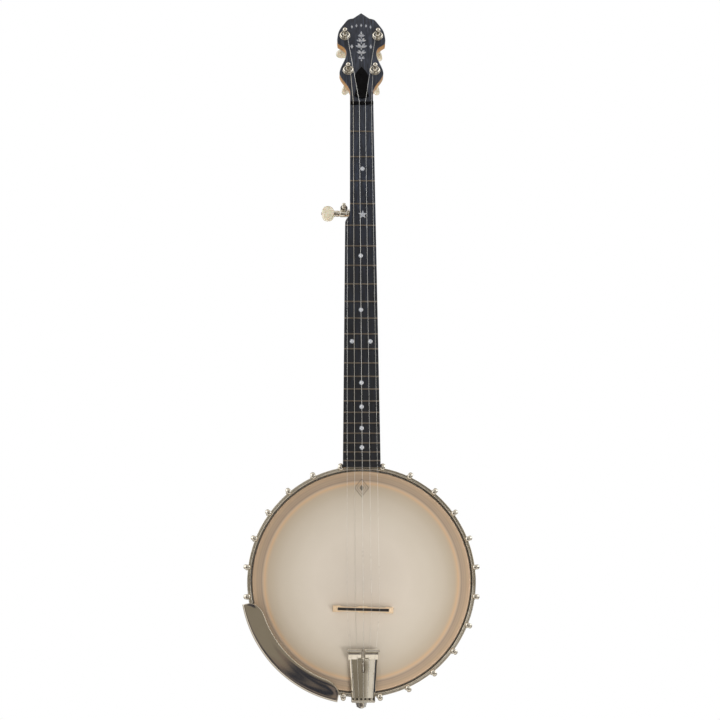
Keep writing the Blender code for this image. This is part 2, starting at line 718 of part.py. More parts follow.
def make_pot(finishes, frame):
    wood, brass, film, nickel = finishes
    rim_profile = (
        (RIM_INNER, RIM_FRONT), (RING_INNER - GAP, RIM_FRONT), (RING_INNER - GAP, RIM_SEAT),
        (RIM_OUTER, RIM_SEAT), (RIM_OUTER, RIM_BACK), (RIM_INNER, RIM_BACK),
    )
    rim = solid("rim", turned(rim_profile, POT_SEGMENTS), wood, frame, smooth=True)
    holes = [rim_hole(angle, SHOE_DEPTH, BOLT_HOLE, HOOK_SIDES) for angle in bracket_angles()]
    holes += [rim_hole(angle, ROD_DEPTH, LAG_HOLE, PEG_SIDES) for angle in (0, math.pi)]
    bpy.context.view_layer.update()
    combined(rim, holes, "DIFFERENCE")

    crown = HEAD_DEPTH + HEAD_THICKNESS + GAP
    ring_profile = (
        (RING_INNER, crown + 0.0020), (RING_INNER + 0.0020, crown + 0.0003), (RING_OUTER - 0.0022, crown),
        (RING_OUTER, crown + 0.0018), (RING_OUTER, RIM_SEAT - GAP), (RING_INNER, RIM_SEAT - GAP),
    )
    solid("tone_ring", turned(ring_profile, POT_SEGMENTS), brass, frame, smooth=True)

    skirt = RIM_OUTER + GAP
    head_profile = (
        (0, HEAD_DEPTH), (RING_OUTER, HEAD_DEPTH), (skirt + HEAD_THICKNESS, HEAD_DEPTH + 0.0012),
        (skirt + HEAD_THICKNESS, FLESH_FRONT), (FLESH_OUTER, FLESH_FRONT), (FLESH_OUTER, FLESH_BACK),
        (skirt, FLESH_BACK), (skirt, HEAD_DEPTH + 0.0016), (RING_OUTER - 0.0004, HEAD_DEPTH + HEAD_THICKNESS),
        (0, HEAD_DEPTH + HEAD_THICKNESS),
    )
    solid("head", turned(head_profile, POT_SEGMENTS), film, frame, smooth=True)

    groove = HOOP_FRONT + GROOVE_DEPTH
    hoop_profile = (
        (HOOP_INNER, HOOP_FRONT + 0.0012), (HOOP_INNER + 0.0008, HOOP_FRONT),
        (GROOVE_RADIUS - GROOVE_HALF_WIDTH, HOOP_FRONT), (GROOVE_RADIUS - GROOVE_HALF_WIDTH, groove),
        (GROOVE_RADIUS + GROOVE_HALF_WIDTH, groove), (GROOVE_RADIUS + GROOVE_HALF_WIDTH, HOOP_FRONT),
        (HOOP_OUTER - 0.0004, HOOP_FRONT), (HOOP_OUTER, HOOP_FRONT + 0.0006), (HOOP_OUTER, HOOP_BACK),
        (HOOP_INNER, HOOP_BACK),
    )
    solid("tension_hoop", turned(hoop_profile, POT_SEGMENTS), nickel, frame, smooth=True)


def bracket_angles():
    one_side = [FIRST_BRACKET + BRACKET_STEP * number for number in range(BRACKETS_PER_SIDE)]
    return one_side + [-angle for angle in reversed(one_side)]


def hook_shape():
    """A J-shaped hook: its tip in the hoop's groove, its rod running back along the rim."""
    middle = (HOOK_CIRCLE + GROOVE_RADIUS) / 2
    bend = (HOOK_CIRCLE - GROOVE_RADIUS) / 2
    path = [(0, -GROOVE_RADIUS, HOOP_FRONT + GROOVE_DEPTH - GAP)]
    radii = [HOOK_TIP_RADIUS]
    for step in range(5):
        angle = math.pi * step / 4
        path.append((0, -middle + bend * math.cos(angle), HOOK_CROWN_DEPTH - bend * math.sin(angle)))
        radii.append(HOOK_TIP_RADIUS if step == 0 else HOOK_RADIUS)
    path.append((0, -HOOK_CIRCLE, SHOE_DEPTH + SHOE_HALF_HEIGHT + 0.003))
    radii.append(HOOK_RADIUS)
    return swept(path, radii, HOOK_SIDES)


def shoe_shape():
    """A shoe that narrows from its foot on the rim to the eye that the hook runs through."""
    # (radius, half width, half height)
    stations = (
        (RIM_OUTER + GAP, SHOE_HALF_WIDTH, SHOE_HALF_HEIGHT),
        (RIM_OUTER + 0.0025, SHOE_HALF_WIDTH, SHOE_HALF_HEIGHT),
        (HOOK_CIRCLE - 0.0025, SHOE_HALF_WIDTH * SHOE_EYE_WIDTH, SHOE_HALF_HEIGHT * 0.70),
        (HOOK_CIRCLE + 0.0025, SHOE_HALF_WIDTH * SHOE_EYE_WIDTH, SHOE_HALF_HEIGHT * SHOE_EYE_HEIGHT),
    )
    rings = []
    for radius, wide, high in stations:
        corners = ((-wide, -high), (wide, -high), (wide, high), (-wide, high))
        rings.append([(x, -radius, SHOE_DEPTH + along) for x, along in corners])
    return lofted(rings)


def make_brackets(nickel, frame):
    first = solid("bracket_01", hook_shape(), nickel, frame, smooth=True)
    nut_front = SHOE_DEPTH + SHOE_HALF_HEIGHT * SHOE_EYE_HEIGHT - 0.0008
    nut = turned(((0, nut_front), (NUT_RADIUS, nut_front), (NUT_RADIUS, NUT_BACK - 0.0012),
                  (NUT_RADIUS * 0.5, NUT_BACK), (0, NUT_BACK)), 6)
    nut.transform(Matrix.Translation((0, -HOOK_CIRCLE, 0)))
    bolt_start = -RIM_OUTER - 0.002
    bolt_end = -RIM_INNER + 0.001
    bolt = bar_between(BOLT_RADIUS, (0, bolt_start, SHOE_DEPTH), (0, bolt_end, SHOE_DEPTH), HOOK_SIDES)
    head_start = -RIM_INNER + 2 * GAP
    head_end = -RIM_INNER + BOLT_HEAD_LENGTH
    head = bar_between(BOLT_HEAD_RADIUS, (0, head_start, SHOE_DEPTH), (0, head_end, SHOE_DEPTH), HOOK_SIDES)
    bpy.context.view_layer.update()
    combined(first, [shoe_shape(), nut, bolt, head], "UNION")
    first.data.shade_smooth()
    first.data.set_sharp_from_angle(angle=math.radians(35))
    angles = bracket_angles()
    first.rotation_euler.z = angles[0]
    for number, angle in enumerate(angles[1:], start=2):
        bracket = add_object(f"bracket_{number:02d}", first.data, nickel, frame)
        bracket.rotation_euler.z = angle


def make_rod(steel):
    inner_top = POT_Z + RIM_INNER - 0.0005
    inner_foot = POT_Z - RIM_INNER + 0.0005
    outer_foot = POT_Z - RIM_OUTER - HANGER_STRAP_THICKNESS - 2 * GAP
    profile = (
        (0, LAG_TOP), (LAG_RADIUS, LAG_TOP), (LAG_RADIUS, inner_top), (ROD_NUT_RADIUS, inner_top),
        (ROD_NUT_RADIUS, inner_top - ROD_NUT_LENGTH), (ROD_RADIUS, inner_top - ROD_NUT_LENGTH),
        (ROD_RADIUS, inner_foot + ROD_NUT_LENGTH), (ROD_NUT_RADIUS, inner_foot + ROD_NUT_LENGTH),
        (ROD_NUT_RADIUS, inner_foot), (LAG_RADIUS, inner_foot), (LAG_RADIUS, outer_foot),
        (TAIL_BOLT_RADIUS, outer_foot), (TAIL_BOLT_RADIUS, outer_foot - TAIL_BOLT_LENGTH),
        (0, outer_foot - TAIL_BOLT_LENGTH),
    )
    rod = solid("coordinator_rod", turned(profile, PEG_SIDES), steel, smooth=True)
    rod.location.y = ROD_DEPTH


def make_tailpiece(nickel, steel):
    middle = STRING_BAND_OFFSET
    plate_outline = (
        (middle - PLATE_TOP_HALF, PLATE_TOP), (middle + PLATE_TOP_HALF, PLATE_TOP),
        (middle + PLATE_FOOT_HALF, PLATE_FOOT), (middle - PLATE_FOOT_HALF, PLATE_FOOT),
    )
    plate = in_world(prism(plate_outline, -PLATE_BACK, -PLATE_FRONT), Matrix.Rotation(math.pi / 2, 4, "X"))
    tailpiece = solid("tailpiece", plate, nickel)
    half = BAR_HALF_WIDTH
    pieces = [
        block((middle - half, BAR_FRONT, BAR_Z - 0.0018), (middle + half, BAR_BACK, BAR_Z + 0.0018)),
        block((middle - PLATE_FOOT_HALF + 0.0001, -0.0002, PLATE_FOOT),
              (middle + PLATE_FOOT_HALF - 0.0001, PLATE_BACK - 0.0002, PLATE_FOOT + 0.0024)),
        block((-0.0080, PLATE_BACK - 0.0010, PLATE_FOOT + 0.0001), (0.0080, 0.0140, PLATE_FOOT + 0.0020)),
        block((-0.0045, 0.0110, HANGER_Z - 0.0040), (0.0045, 0.0142, PLATE_FOOT + 0.0018)),
        bar_between(HANGER_BOLT_RADIUS, (0, 0.0130, HANGER_Z), (0, HANGER_BOLT_END, HANGER_Z), PEG_SIDES),
    ]
    for side in (-1, 1):
        inner = middle + side * (half - CHEEK_THICKNESS)
        outer = middle + side * (half - 0.0002)
        pieces.append(block((min(inner, outer), BAR_FRONT + 0.0003, PLATE_TOP - 0.0030),
                            (max(inner, outer), PLATE_BACK - 0.0003, BAR_Z + 0.0010)))
    combined(tailpiece, pieces, "UNION")

    foot = POT_Z - RIM_OUTER - GAP
    arm_front = HANGER_ARM_DEPTH
    wide = HANGER_HALF_WIDTH
    low = foot - HANGER_STRAP_THICKNESS
    strap = block((-wide, arm_front + 0.0001, low), (wide, ROD_DEPTH + 0.0090, foot))
    hanger = solid("tailpiece_hanger", strap, steel)
    wide = HANGER_ARM_HALF_WIDTH
    arm = block((-wide, arm_front, HANGER_Z - 0.0050), (wide, arm_front + HANGER_THICKNESS, foot - 0.0002))
    combined(hanger, [arm], "UNION")
    end_hole = bar_between(LAG_HOLE, (0, ROD_DEPTH, foot + 0.01), (0, ROD_DEPTH, foot - 0.01), PEG_SIDES)
    bolt_hole = bar_between(HANGER_BOLT_HOLE, (0, 0.01, HANGER_Z), (0, 0.04, HANGER_Z), PEG_SIDES)
    combined(hanger, [end_hole, bolt_hole], "DIFFERENCE")

    radius = THUMB_NUT_RADIUS
    length = THUMB_NUT_LENGTH
    edge = THUMB_NUT_EDGE
    profile = (
        (HANGER_BOLT_HOLE, 0), (radius - edge, 0), (radius, edge), (radius, length - edge),
        (radius - edge, length), (HANGER_BOLT_HOLE, length),
    )
    thumb_nut = solid("tailpiece_thumb_nut", turned(profile, PEG_SIDES), nickel, smooth=True)
    thumb_nut.location = (0, arm_front + HANGER_THICKNESS + GAP, HANGER_Z)
    thumb_nut.rotation_euler.x = -math.pi / 2


def round_over(share):
    """1 at the start of a quarter circle, falling to 0 at its end and beyond."""
    return 1 - math.sqrt(1 - (1 - min(share, 1.0)) ** 2)


def armrest_shape():
    """A curved plate round the hoop, its inner side drawn in to a round corner at each end."""
    # shares of a corner, closest together where it turns fastest
    corner = [ARMREST_CORNER * share for share in (0.0, 0.06, 0.20, 0.45, 1.0)]
    span = ARMREST_END - ARMREST_START - 2 * ARMREST_CORNER
    middle = [ARMREST_CORNER + span * step / ARMREST_MIDDLE_STEPS for step in range(1, ARMREST_MIDDLE_STEPS)]
    angles = [ARMREST_START + turn for turn in (*corner, *middle)]
    angles += [ARMREST_END - turn for turn in reversed(corner)]
    width = ARMREST_CREST - ARMREST_SECTION[0][0]
    rings = []
    for angle in angles:
        from_end = min(angle - ARMREST_START, ARMREST_END - angle)
        drawn_in = round_over(from_end / ARMREST_CORNER) * ARMREST_CORNER_WIDTH / width
        front = [Vector((radius + max(ARMREST_CREST - radius, 0.0) * drawn_in, depth))
                 for radius, depth in ARMREST_SECTION]
        back = []
        for index, point in enumerate(front):
            ahead = front[min(index + 1, len(front) - 1)] - front[max(index - 1, 0)]
            back.append(point + Vector((-ahead.y, ahead.x)).normalized() * ARMREST_THICKNESS)
        ring = [*front, *reversed(back)]
        rings.append([(-p.x * math.sin(angle), p.x * math.cos(angle), p.y) for p in ring])
    return lofted(rings)


def make_armrest(nickel, frame):
    armrest = solid("armrest", armrest_shape(), nickel, frame, smooth=True)
    wide = ARMREST_CLAMP_HALF_WIDTH
    leg = block((-wide, HOOP_OUTER + 2 * GAP, -0.0006), (wide, 0.1528, FLESH_BACK + 0.0060))
    wide -= GAP
    toe = block((-wide, RIM_OUTER + 2 * GAP, FLESH_BACK + 2 * GAP), (wide, 0.1500, FLESH_BACK + 0.0058))
    for shape in (leg, toe):
        shape.transform(Matrix.Rotation(ARMREST_CLAMP, 4, "Z"))
    bpy.context.view_layer.update()
    combined(armrest, [leg, toe], "UNION")


def make_bridge(finish):
    """A three-footed bridge, drawn as seen along the strings and thinner at its top."""
    toe = BRIDGE_TOE_HEIGHT
    arch = BRIDGE_ARCH_HEIGHT
    outline = [(BRIDGE_FOOT_HALF, 0), (BRIDGE_FOOT_HALF, toe), (BRIDGE_TOP_HALF, BRIDGE_HEIGHT),
               (-BRIDGE_TOP_HALF, BRIDGE_HEIGHT), (-BRIDGE_FOOT_HALF, toe), (-BRIDGE_FOOT_HALF, 0)]
    for low, high in ((-BRIDGE_ARCH_END, -BRIDGE_ARCH_START), (BRIDGE_ARCH_START, BRIDGE_ARCH_END)):
        outline += [(low, 0), (low + 0.0020, arch * 0.7), (low + 0.0060, arch), (high - 0.0060, arch),
                    (high - 0.0020, arch * 0.7), (high, 0)]
    rings = []
    for side in (-0.5, 0.5):
        ring = []
        for x, height in outline:
            share = height / BRIDGE_HEIGHT
            thickness = BRIDGE_FOOT_THICKNESS + (BRIDGE_TOP_THICKNESS - BRIDGE_FOOT_THICKNESS) * share
            ring.append((x, -height, side * thickness))
        rings.append(ring)
    bridge = solid("bridge", lofted(rings), finish)
    bridge.location = (STRING_BAND_OFFSET, HEAD_DEPTH - GAP, BRIDGE_Z)
    bridge.rotation_euler.y = BRIDGE_SLANT


def build():
    clear_scene()
    maple = material("amber maple", (0.56, 0.27, 0.09), 0.32)
    dyed = material("dyed maple", (0.045, 0.050, 0.062), 0.42)
    black = material("black horn", (0.012, 0.012, 0.013), 0.30)
    nickel = material("nickel plate", (0.62, 0.59, 0.53), 0.18, 1.0)
    steel = material("steel", (0.56, 0.56, 0.56), 0.30, 1.0)
    brass = material("tone ring nickel", (0.55, 0.50, 0.42), 0.28, 1.0)
    film = material("head film", (0.72, 0.60, 0.44), 0.45)
    pearl = material("pearl button", (0.80, 0.74, 0.58), 0.25)
    pale = material("bridge maple", (0.78, 0.58, 0.36), 0.50)
    wound = material("wound string", (0.52, 0.50, 0.46), 0.40, 1.0)

    peghead = empty("peghead_frame", (0, PEGHEAD_FACE_DEPTH, 0), math.pi / 2 - PEGHEAD_TILT)
    pot = empty("pot_frame", (0, 0, POT_Z), -math.pi / 2)
    bpy.context.view_layer.update()

    make_neck(maple)
    make_fingerboard(dyed)
    make_peghead_trim(dyed, black, peghead)
    make_nuts(black)
    make_planetary_pegs(nickel, pearl, peghead)
    make_fifth_peg(nickel, pearl)
    make_pot((maple, brass, film, nickel), pot)
    make_brackets(nickel, pot)
    make_rod(steel)
    make_tailpiece(nickel, steel)
    make_armrest(nickel, pot)
    make_bridge(pale)
    make_strings(steel, wound)


build()
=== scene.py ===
"""The looks of an open-back five-string banjo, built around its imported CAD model.

Metres, in the CAD's frame: +Z runs from the pot to the peghead, the playing side faces -Y and the fifth
peg is at -X. The origin is where the centreline of the fingerboard's playing surface meets the nut.
"""

import math

import bmesh
import bpy
from mathutils import Matrix, Vector


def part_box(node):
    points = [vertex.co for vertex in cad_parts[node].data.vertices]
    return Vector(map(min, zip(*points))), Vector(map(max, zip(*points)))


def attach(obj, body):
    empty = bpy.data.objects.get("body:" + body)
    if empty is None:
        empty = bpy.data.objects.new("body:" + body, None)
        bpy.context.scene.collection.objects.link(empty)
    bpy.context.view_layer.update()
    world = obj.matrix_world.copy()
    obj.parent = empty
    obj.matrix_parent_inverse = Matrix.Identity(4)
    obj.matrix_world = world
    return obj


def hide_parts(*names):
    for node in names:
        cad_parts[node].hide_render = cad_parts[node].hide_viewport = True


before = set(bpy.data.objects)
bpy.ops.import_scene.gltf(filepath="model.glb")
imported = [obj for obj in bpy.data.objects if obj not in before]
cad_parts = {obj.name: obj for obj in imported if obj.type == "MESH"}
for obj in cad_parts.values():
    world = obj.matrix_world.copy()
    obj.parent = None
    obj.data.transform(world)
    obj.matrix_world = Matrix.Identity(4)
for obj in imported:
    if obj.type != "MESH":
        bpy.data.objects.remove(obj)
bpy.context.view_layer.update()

GAP = 0.0003
TURN = 2 * math.pi
QUARTER = math.pi / 2


def at(x, y, z, turn=0.0, axis="X"):
    """A frame at a point, turned about one of its axes."""
    return Matrix.Translation((x, y, z)) @ Matrix.Rotation(turn, 4, axis)


# Frames that pieces are made in
PEGHEAD_TILT = math.radians(11)
PEGHEAD_FACE_DEPTH = 0.0036
POT_Z = (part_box("rim")[0].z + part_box("rim")[1].z) / 2
WORLD = Matrix.Identity(4)
FRONT = at(0, 0, 0, QUARTER)  # x across, y up the strings, z out of the playing side
PEGHEAD = at(0, PEGHEAD_FACE_DEPTH, 0, QUARTER - PEGHEAD_TILT)
POT = at(0, 0, POT_Z, -QUARTER)  # z is the depth, -y the neck

# Strings, from the fifth to the first
SCALE_LENGTH = 0.66675
BRIDGE_Z = -SCALE_LENGTH - 0.0020  # set back a little, so that fretted notes sound in tune
STRING_DIAMETERS = (0.00025, 0.00058, 0.00041, 0.00030, 0.00025)
STRING_BAND_OFFSET = 0.0018
NUT_SPACING = 0.00815
NUT_OFFSET = 0.0008
BRIDGE_SPACING = 0.0103
TAIL_SPACING = 0.0052
NUT_STRING_DEPTH = -0.0019
BRIDGE_STRING_DEPTH = -0.0064
BAR_STRING_DEPTH = -0.0005
TAIL_STRING_DEPTH = 0.0024
FIFTH_NUT_X = -0.0192
FIFTH_NUT_Z = -0.1642

# Fingerboard and neck
BOARD_THICKNESS = 0.0055
BOARD_END = -0.4878
NUT_HALF_WIDTH = 0.0157
END_HALF_WIDTH = 0.0244
SHOULDER_HALF_WIDTH = 0.0221
SHOULDER_TOP = -0.1530
SHOULDER_FOOT = -0.1640
NUT_LENGTH = 0.0045
FRET_COUNT = 22
FRET_HALF_WIDTH = 0.0009
FRET_HEIGHT = 0.0010
INLAY_DEPTH = 0.0010
DOT_FRETS = (3, 7, 10, 15, 17, 19, 21)
DOT_RADIUS = 0.0029
DOUBLE_DOT_FRET = 12
DOUBLE_DOT_OFFSET = 0.0120
STAR_FRET = 5
STAR_RADIUS = 0.0062
# (distance from the nut, depth behind the fingerboard's glue line)
NECK_DEPTHS = (
    (0.0, 0.0150), (0.030, 0.0152), (0.150, 0.0165), (0.330, 0.0185), (0.430, 0.0205), (0.445, 0.0235),
    (0.455, 0.0290), (0.463, 0.0370), (0.470, 0.0470), (0.476, 0.0560), (0.483, 0.0620), (0.497, 0.0640),
)
# (height above the nut, depth of the back, share of the width) of the neck's end under the peghead
NECK_TIP = ((0.024, 0.0196, 0.68), (0.018, 0.0198, 0.76), (0.012, 0.0200, 0.86), (0.007, 0.0205, 0.96),
            (0.004, 0.0208, 1.0))
HEEL_START = 0.430
HEEL_BLEND = 0.030
NECK_ROUNDNESS = 0.87
HEEL_ROUNDNESS = 1.12
NECK_POINTS = 40

# Peghead
OVERLAY_THICKNESS = 0.0020
PEGHEAD_THICKNESS = 0.0130
# (half width, height above the nut) up the right side of the outline, as smooth stretches between corners
PEGHEAD_SIDE = (
    ((0.0155, 0.0230), (0.0190, 0.0310), (0.0286, 0.0460), (0.0290, 0.0560), (0.0212, 0.0765),
     (0.0222, 0.0893), (0.0325, 0.0977)),
    ((0.0325, 0.0977), (0.0330, 0.1050), (0.0303, 0.1180), (0.0230, 0.1296), (0.0179, 0.1358),
     (0.0110, 0.1379)),
    ((0.0110, 0.1379), (0.0, 0.1464)),
)
COVER_SIDE = (
    ((0.0100, 0.0140), (0.0083, 0.0220), (0.0076, 0.0320), (0.0091, 0.0450), (0.0048, 0.0540), (0.0, 0.0596)),
)
COVER_FOOT = 0.0105
COVER_THICKNESS = 0.0020
COVER_SCREWS = (0.0180, 0.0480)
# (height up the peghead, length of its leaves), and the arc that the row of lozenges lies on
LEAF_ROWS = ((0.0730, 0.0052), (0.0815, 0.0070), (0.0910, 0.0086), (0.1005, 0.0072), (0.1085, 0.0054))
ARC_HEIGHT = 0.0935
ARC_RADIUS = 0.0330

# Pegs, as depths along their axes (positive in front of the peghead's face)
# (name, x, height up the peghead, turn of the button)
PEG_PLACES = (
    ("fourth", -0.0182, 0.0548, math.radians(56)),
    ("third", -0.0225, 0.1096, math.radians(8)),
    ("second", 0.0225, 0.1096, math.radians(-56)),
    ("first", 0.0182, 0.0548, math.radians(-56)),
)
BUSHING_TOP = 0.0035
CASE_END = -0.0340
POST_RADIUS = 0.0031
POST_WAIST = 0.0024
POST_TIP = 0.0175
WINDING_TOP = BUSHING_TOP + 0.0030
WINDING_COILS = 3.5
WINDING_STEPS = 84
WINDING_PITCH = 1.05  # in string diameters
BUTTON_START = -0.0365
BUTTON_LENGTH = 0.0170
BUTTON_HALF_WIDTH = 0.0120
BUTTON_HALF_THICKNESS = 0.0045
BUTTON_SCREW_HEIGHT = 0.0008
# (share of the length, share of the width, share of the thickness) from the collar to the end
BUTTON_SECTIONS = ((0.0, 0.42, 0.78), (0.10, 0.72, 0.92), (0.25, 0.92, 1.0), (0.46, 1.0, 1.0),
                   (0.66, 0.97, 0.97), (0.82, 0.84, 0.88), (0.93, 0.60, 0.66), (1.0, 0.26, 0.34))
FIFTH_TURN = math.radians(15)
FIFTH = at(0, 0.0130, -0.1481, QUARTER - FIFTH_TURN)
FIFTH_BARREL_END = -0.0345
FIFTH_POST = FIFTH @ at(-0.0236, 0.0060, 0)
FIFTH_POST_TIP = 0.0150
FIFTH_POST_WAIST = 0.0019
FIFTH_WINDING_TOP = 0.0118
FIFTH_BUTTON_TURN = math.radians(84)

# Pot, in its own frame
HEAD_DEPTH = 0.0104
HEAD_MARK_Z = -0.5140
RIM_INNER = 0.1225
RIM_OUTER = 0.1397
RIM_FRONT = 0.0150
RIM_SEAT = 0.0203
RIM_BACK = 0.0764
RING_INNER = 0.1292
RING_OUTER = 0.1392
HOOP_INNER = 0.1415
HOOP_OUTER = 0.1460
HOOP_FRONT = 0.0064
HOOP_BACK = 0.0192
GROOVE_RADIUS = 0.1439
GROOVE_HALF = 0.0011
GROOVE_DEPTH = 0.0020
FLESH_FRONT = 0.0195
FLESH_BACK = 0.0235
FLESH_OUTER = 0.1440

# Brackets
BRACKETS_PER_SIDE = 12
FIRST_BRACKET = math.radians(10.6)
BRACKET_STEP = math.radians(14.58)
HOOK_CIRCLE = 0.1496
HOOK_RADIUS = 0.0023
HOOK_CROWN_DEPTH = 0.0062
SHOE_DEPTH = 0.0500
# (radius, half width, half height, squareness) from the shoe's foot out to its eye
SHOE_SECTIONS = (
    (RIM_OUTER + GAP, 0.0054, 0.0084, 5.0), (RIM_OUTER + 0.0013, 0.0055, 0.0085, 5.0),
    (RIM_OUTER + 0.0026, 0.0050, 0.0078, 3.6), (0.1440, 0.0040, 0.0062, 2.8), (0.1466, 0.0035, 0.0053, 2.4),
    (HOOK_CIRCLE, 0.0038, 0.0053, 2.2), (HOOK_CIRCLE + 0.0018, 0.0028, 0.0046, 2.2),
    (HOOK_CIRCLE + 0.0025, 0.0010, 0.0034, 2.0),
)

ROD_DEPTH = 0.0460
ROD_RADIUS = 0.0048

# Tailpiece
PLATE_TOP = -0.7300
PLATE_FOOT = -0.7840
PLATE_TOP_HALF = 0.0182
PLATE_FOOT_HALF = 0.0148
PLATE_FRONT = 0.0030
BAR_Z = -0.7198
BAR_HALF_WIDTH = 0.0206
HANGER_Z = -0.7865
HANGER_ARM_DEPTH = 0.0300
THUMB_NUT_RADIUS = 0.0071
THUMB_NUT_RIDGES = 32

# Armrest, as angles from the foot of the pot round towards -X
ARMREST_START = math.radians(11.5)
ARMREST_END = math.radians(78.6)
ARMREST_CLAMP = math.radians(45.6)
ARMREST_CORNER = math.radians(8.5)
ARMREST_CORNER_WIDTH = 0.0165
ARMREST_CREST = 0.1516
ARMREST_ROLL = math.radians(0.4)
ARMREST_ROLL_DROP = 0.0016
ARMREST_ROLL_DEPTH = 0.0070
ARMREST_THICKNESS = 0.0012
CLAMP_OUTER = 0.1528
# (radius, depth) across the armrest's front, from its inner to its outer edge
ARMREST_SECTION = (
    (0.1302, 0.0012), (0.1305, -0.0012), (0.1313, -0.0026), (0.1326, -0.0031), (0.1400, -0.0027),
    (0.1480, -0.0023), (0.1516, -0.0020), (0.1532, -0.0012), (0.1541, 0.0004), (0.1546, 0.0028),
    (0.1548, 0.0060),
)

# Bridge
BRIDGE_FOOT_HALF = 0.0385
BRIDGE_TOP_HALF = 0.0328
BRIDGE_HEIGHT = 0.0159
BRIDGE_FOOT_THICKNESS = 0.0080
BRIDGE_TOP_THICKNESS = 0.0030
BRIDGE_SLANT = math.radians(1.6)
BRIDGE_ARCH_HEIGHT = 0.0075
BRIDGE_ARCH_INNER = 0.0055
BRIDGE_ARCH_OUTER = 0.0290
EBONY_HEIGHT = 0.0022

FLOOR_Z = -0.985
FLOOR_RADIUS = 1.75


# ---------------------------------------------------------------- materials

class Nodes:
    """The nodes of a material or a world. A node's input is a constant or another node's output."""

    def __init__(self, tree):
        self.tree = tree

    def fill(self, socket, value):
        if isinstance(value, bpy.types.NodeSocket):
            self.tree.links.new(value, socket)
        else:
            socket.default_value = value

    def add(self, kind, inputs=None, **settings):
        """A new node. Settings are its properties, and inputs its sockets, by name or number."""
        made = self.tree.nodes.new("ShaderNode" + kind)
        for name, value in settings.items():
            setattr(made, name, value)
        for name, value in (inputs or {}).items():
            self.fill(made.inputs[name], value)
        return made

    def maths(self, operation, *values):
        return self.add("Math", dict(enumerate(values)), operation=operation).outputs[0]

    def times(self, first, second):
        return self.maths("MULTIPLY", first, second)

    def spread(self, value, low, high, from_low=0.3, from_high=0.7):
        """A value that lies between from_low and from_high, such as a noise, brought between low and high."""
        ends = {"From Min": from_low, "From Max": from_high, "To Min": low, "To Max": high}
        return self.add("MapRange", {"Value": value, **ends}).outputs["Result"]

    def place(self, stretch=(1, 1, 1), source="Object"):
        """The point on the piece, in metres in its own frame, stretched. Generated is a world's direction."""
        point = self.add("TexCoord").outputs[source]
        return self.add("Mapping", {"Vector": point, "Scale": stretch}).outputs["Vector"]

    def parts(self, vector):
        return self.add("SeparateXYZ", {"Vector": vector}).outputs

    def noise(self, scale, detail=4.0, roughness=0.55, distortion=0.0, stretch=(1, 1, 1), vector=None):
        return self.add("TexNoise", {
            "Vector": self.place(stretch) if vector is None else vector, "Scale": scale, "Detail": detail,
            "Roughness": roughness, "Distortion": distortion}).outputs["Fac"]

    def ramp(self, factor, *stops):
        """A colour ramp through (position, linear colour) stops."""
        made = self.add("ValToRGB", {"Fac": factor})
        elements = made.color_ramp.elements
        for element, (position, colour) in zip(elements, (stops[0], stops[-1])):
            element.position = position
            element.color = (*colour, 1)
        for position, colour in stops[1:-1]:
            elements.new(position).color = (*colour, 1)
        return made.outputs["Color"]

    def mix(self, factor, first, second, blend="MIX"):
        """Two colours mixed: each is a linear colour or another node's output."""
        made = self.add("Mix", data_type="RGBA", blend_type=blend)
        for number, value in ((0, factor), (6, first), (7, second)):
            self.fill(made.inputs[number], (*value, 1) if isinstance(value, tuple) else value)
        return made.outputs[2]


class Look(Nodes):
    """A new material, with constants set on its shader's own sockets."""

    def __init__(self, name, **sockets):
        self.material = bpy.data.materials.new(name)
        self.material.use_nodes = True
        super().__init__(self.material.node_tree)
        self.shader = self.tree.nodes["Principled BSDF"]
        for key, value in sockets.items():
            self.shader.inputs[key.replace("_", " ").title().replace("Ior", "IOR")].default_value = value

    def finished(self, colour, roughness=None, height=None, distance=0.00002, strength=0.3):
        """Links the colour, and the roughness and the bump's height where they vary. Gives the material."""
        self.fill(self.shader.inputs["Base Color"], colour)
        if roughness is not None:
            self.fill(self.shader.inputs["Roughness"], roughness)
        if height is not None:
            bump = self.add("Bump", {"Height": height, "Distance": distance, "Strength": strength})
            self.fill(self.shader.inputs["Normal"], bump.outputs["Normal"])
        return self.material


def metal(name, clean, dull, smooth, rough, brushed=(1, 1, 1)):
    """Plated or drawn metal: its tone and its polish vary a little, and brushed stretches the fine marks."""
    look = Look(name, metallic=1.0)
    tone = look.mix(look.spread(look.noise(60), 0, 1), clean, dull)
    marks = look.noise(700, 3, stretch=brushed)
    return look.finished(tone, look.spread(marks, smooth, rough), marks, 0.00001, 0.35)


def grained(name, stops, scale, detail=4.0, grit=0.55, swirl=0.0, stretch=(1, 1, 1), bump=0.0, **sockets):
    """A plain material: one noise gives it its colours, and its bump where it has one."""
    look = Look(name, **sockets)
    grain = look.noise(scale, detail, grit, swirl, stretch)
    return look.finished(look.ramp(grain, *stops), None, grain if bump else None, bump, 0.4)


def amber_maple():
    """Lacquered amber maple for the neck: grain along Z, with soft flame across it."""
    look = Look("amber_maple", coat_weight=0.25, coat_roughness=0.15)
    grain = look.noise(420, 5, 0.6, 0.4, (1, 1, 0.035))
    flame = look.noise(95, 2, 0.5, 0.8, (0.25, 0.6, 1))
    wide = look.noise(40, 2, stretch=(1, 1, 0.12))
    base = look.ramp(grain, (0.30, (0.270, 0.115, 0.018)), (0.50, (0.390, 0.180, 0.030)),
                     (0.72, (0.490, 0.245, 0.048)))
    figured = look.mix(look.spread(flame, 0.0, 0.45, 0.42, 0.64), base, (0.62, 0.34, 0.085))
    shaded = look.mix(look.spread(wide, 0.0, 0.3), figured, (0.240, 0.090, 0.014))
    return look.finished(shaded, look.spread(grain, 0.26, 0.40), grain)


def turned_radius(look, x, y):
    """How far a point on a turned piece is from its axis."""
    return look.maths("SQRT", look.maths("ADD", look.times(x, x), look.times(y, y)))


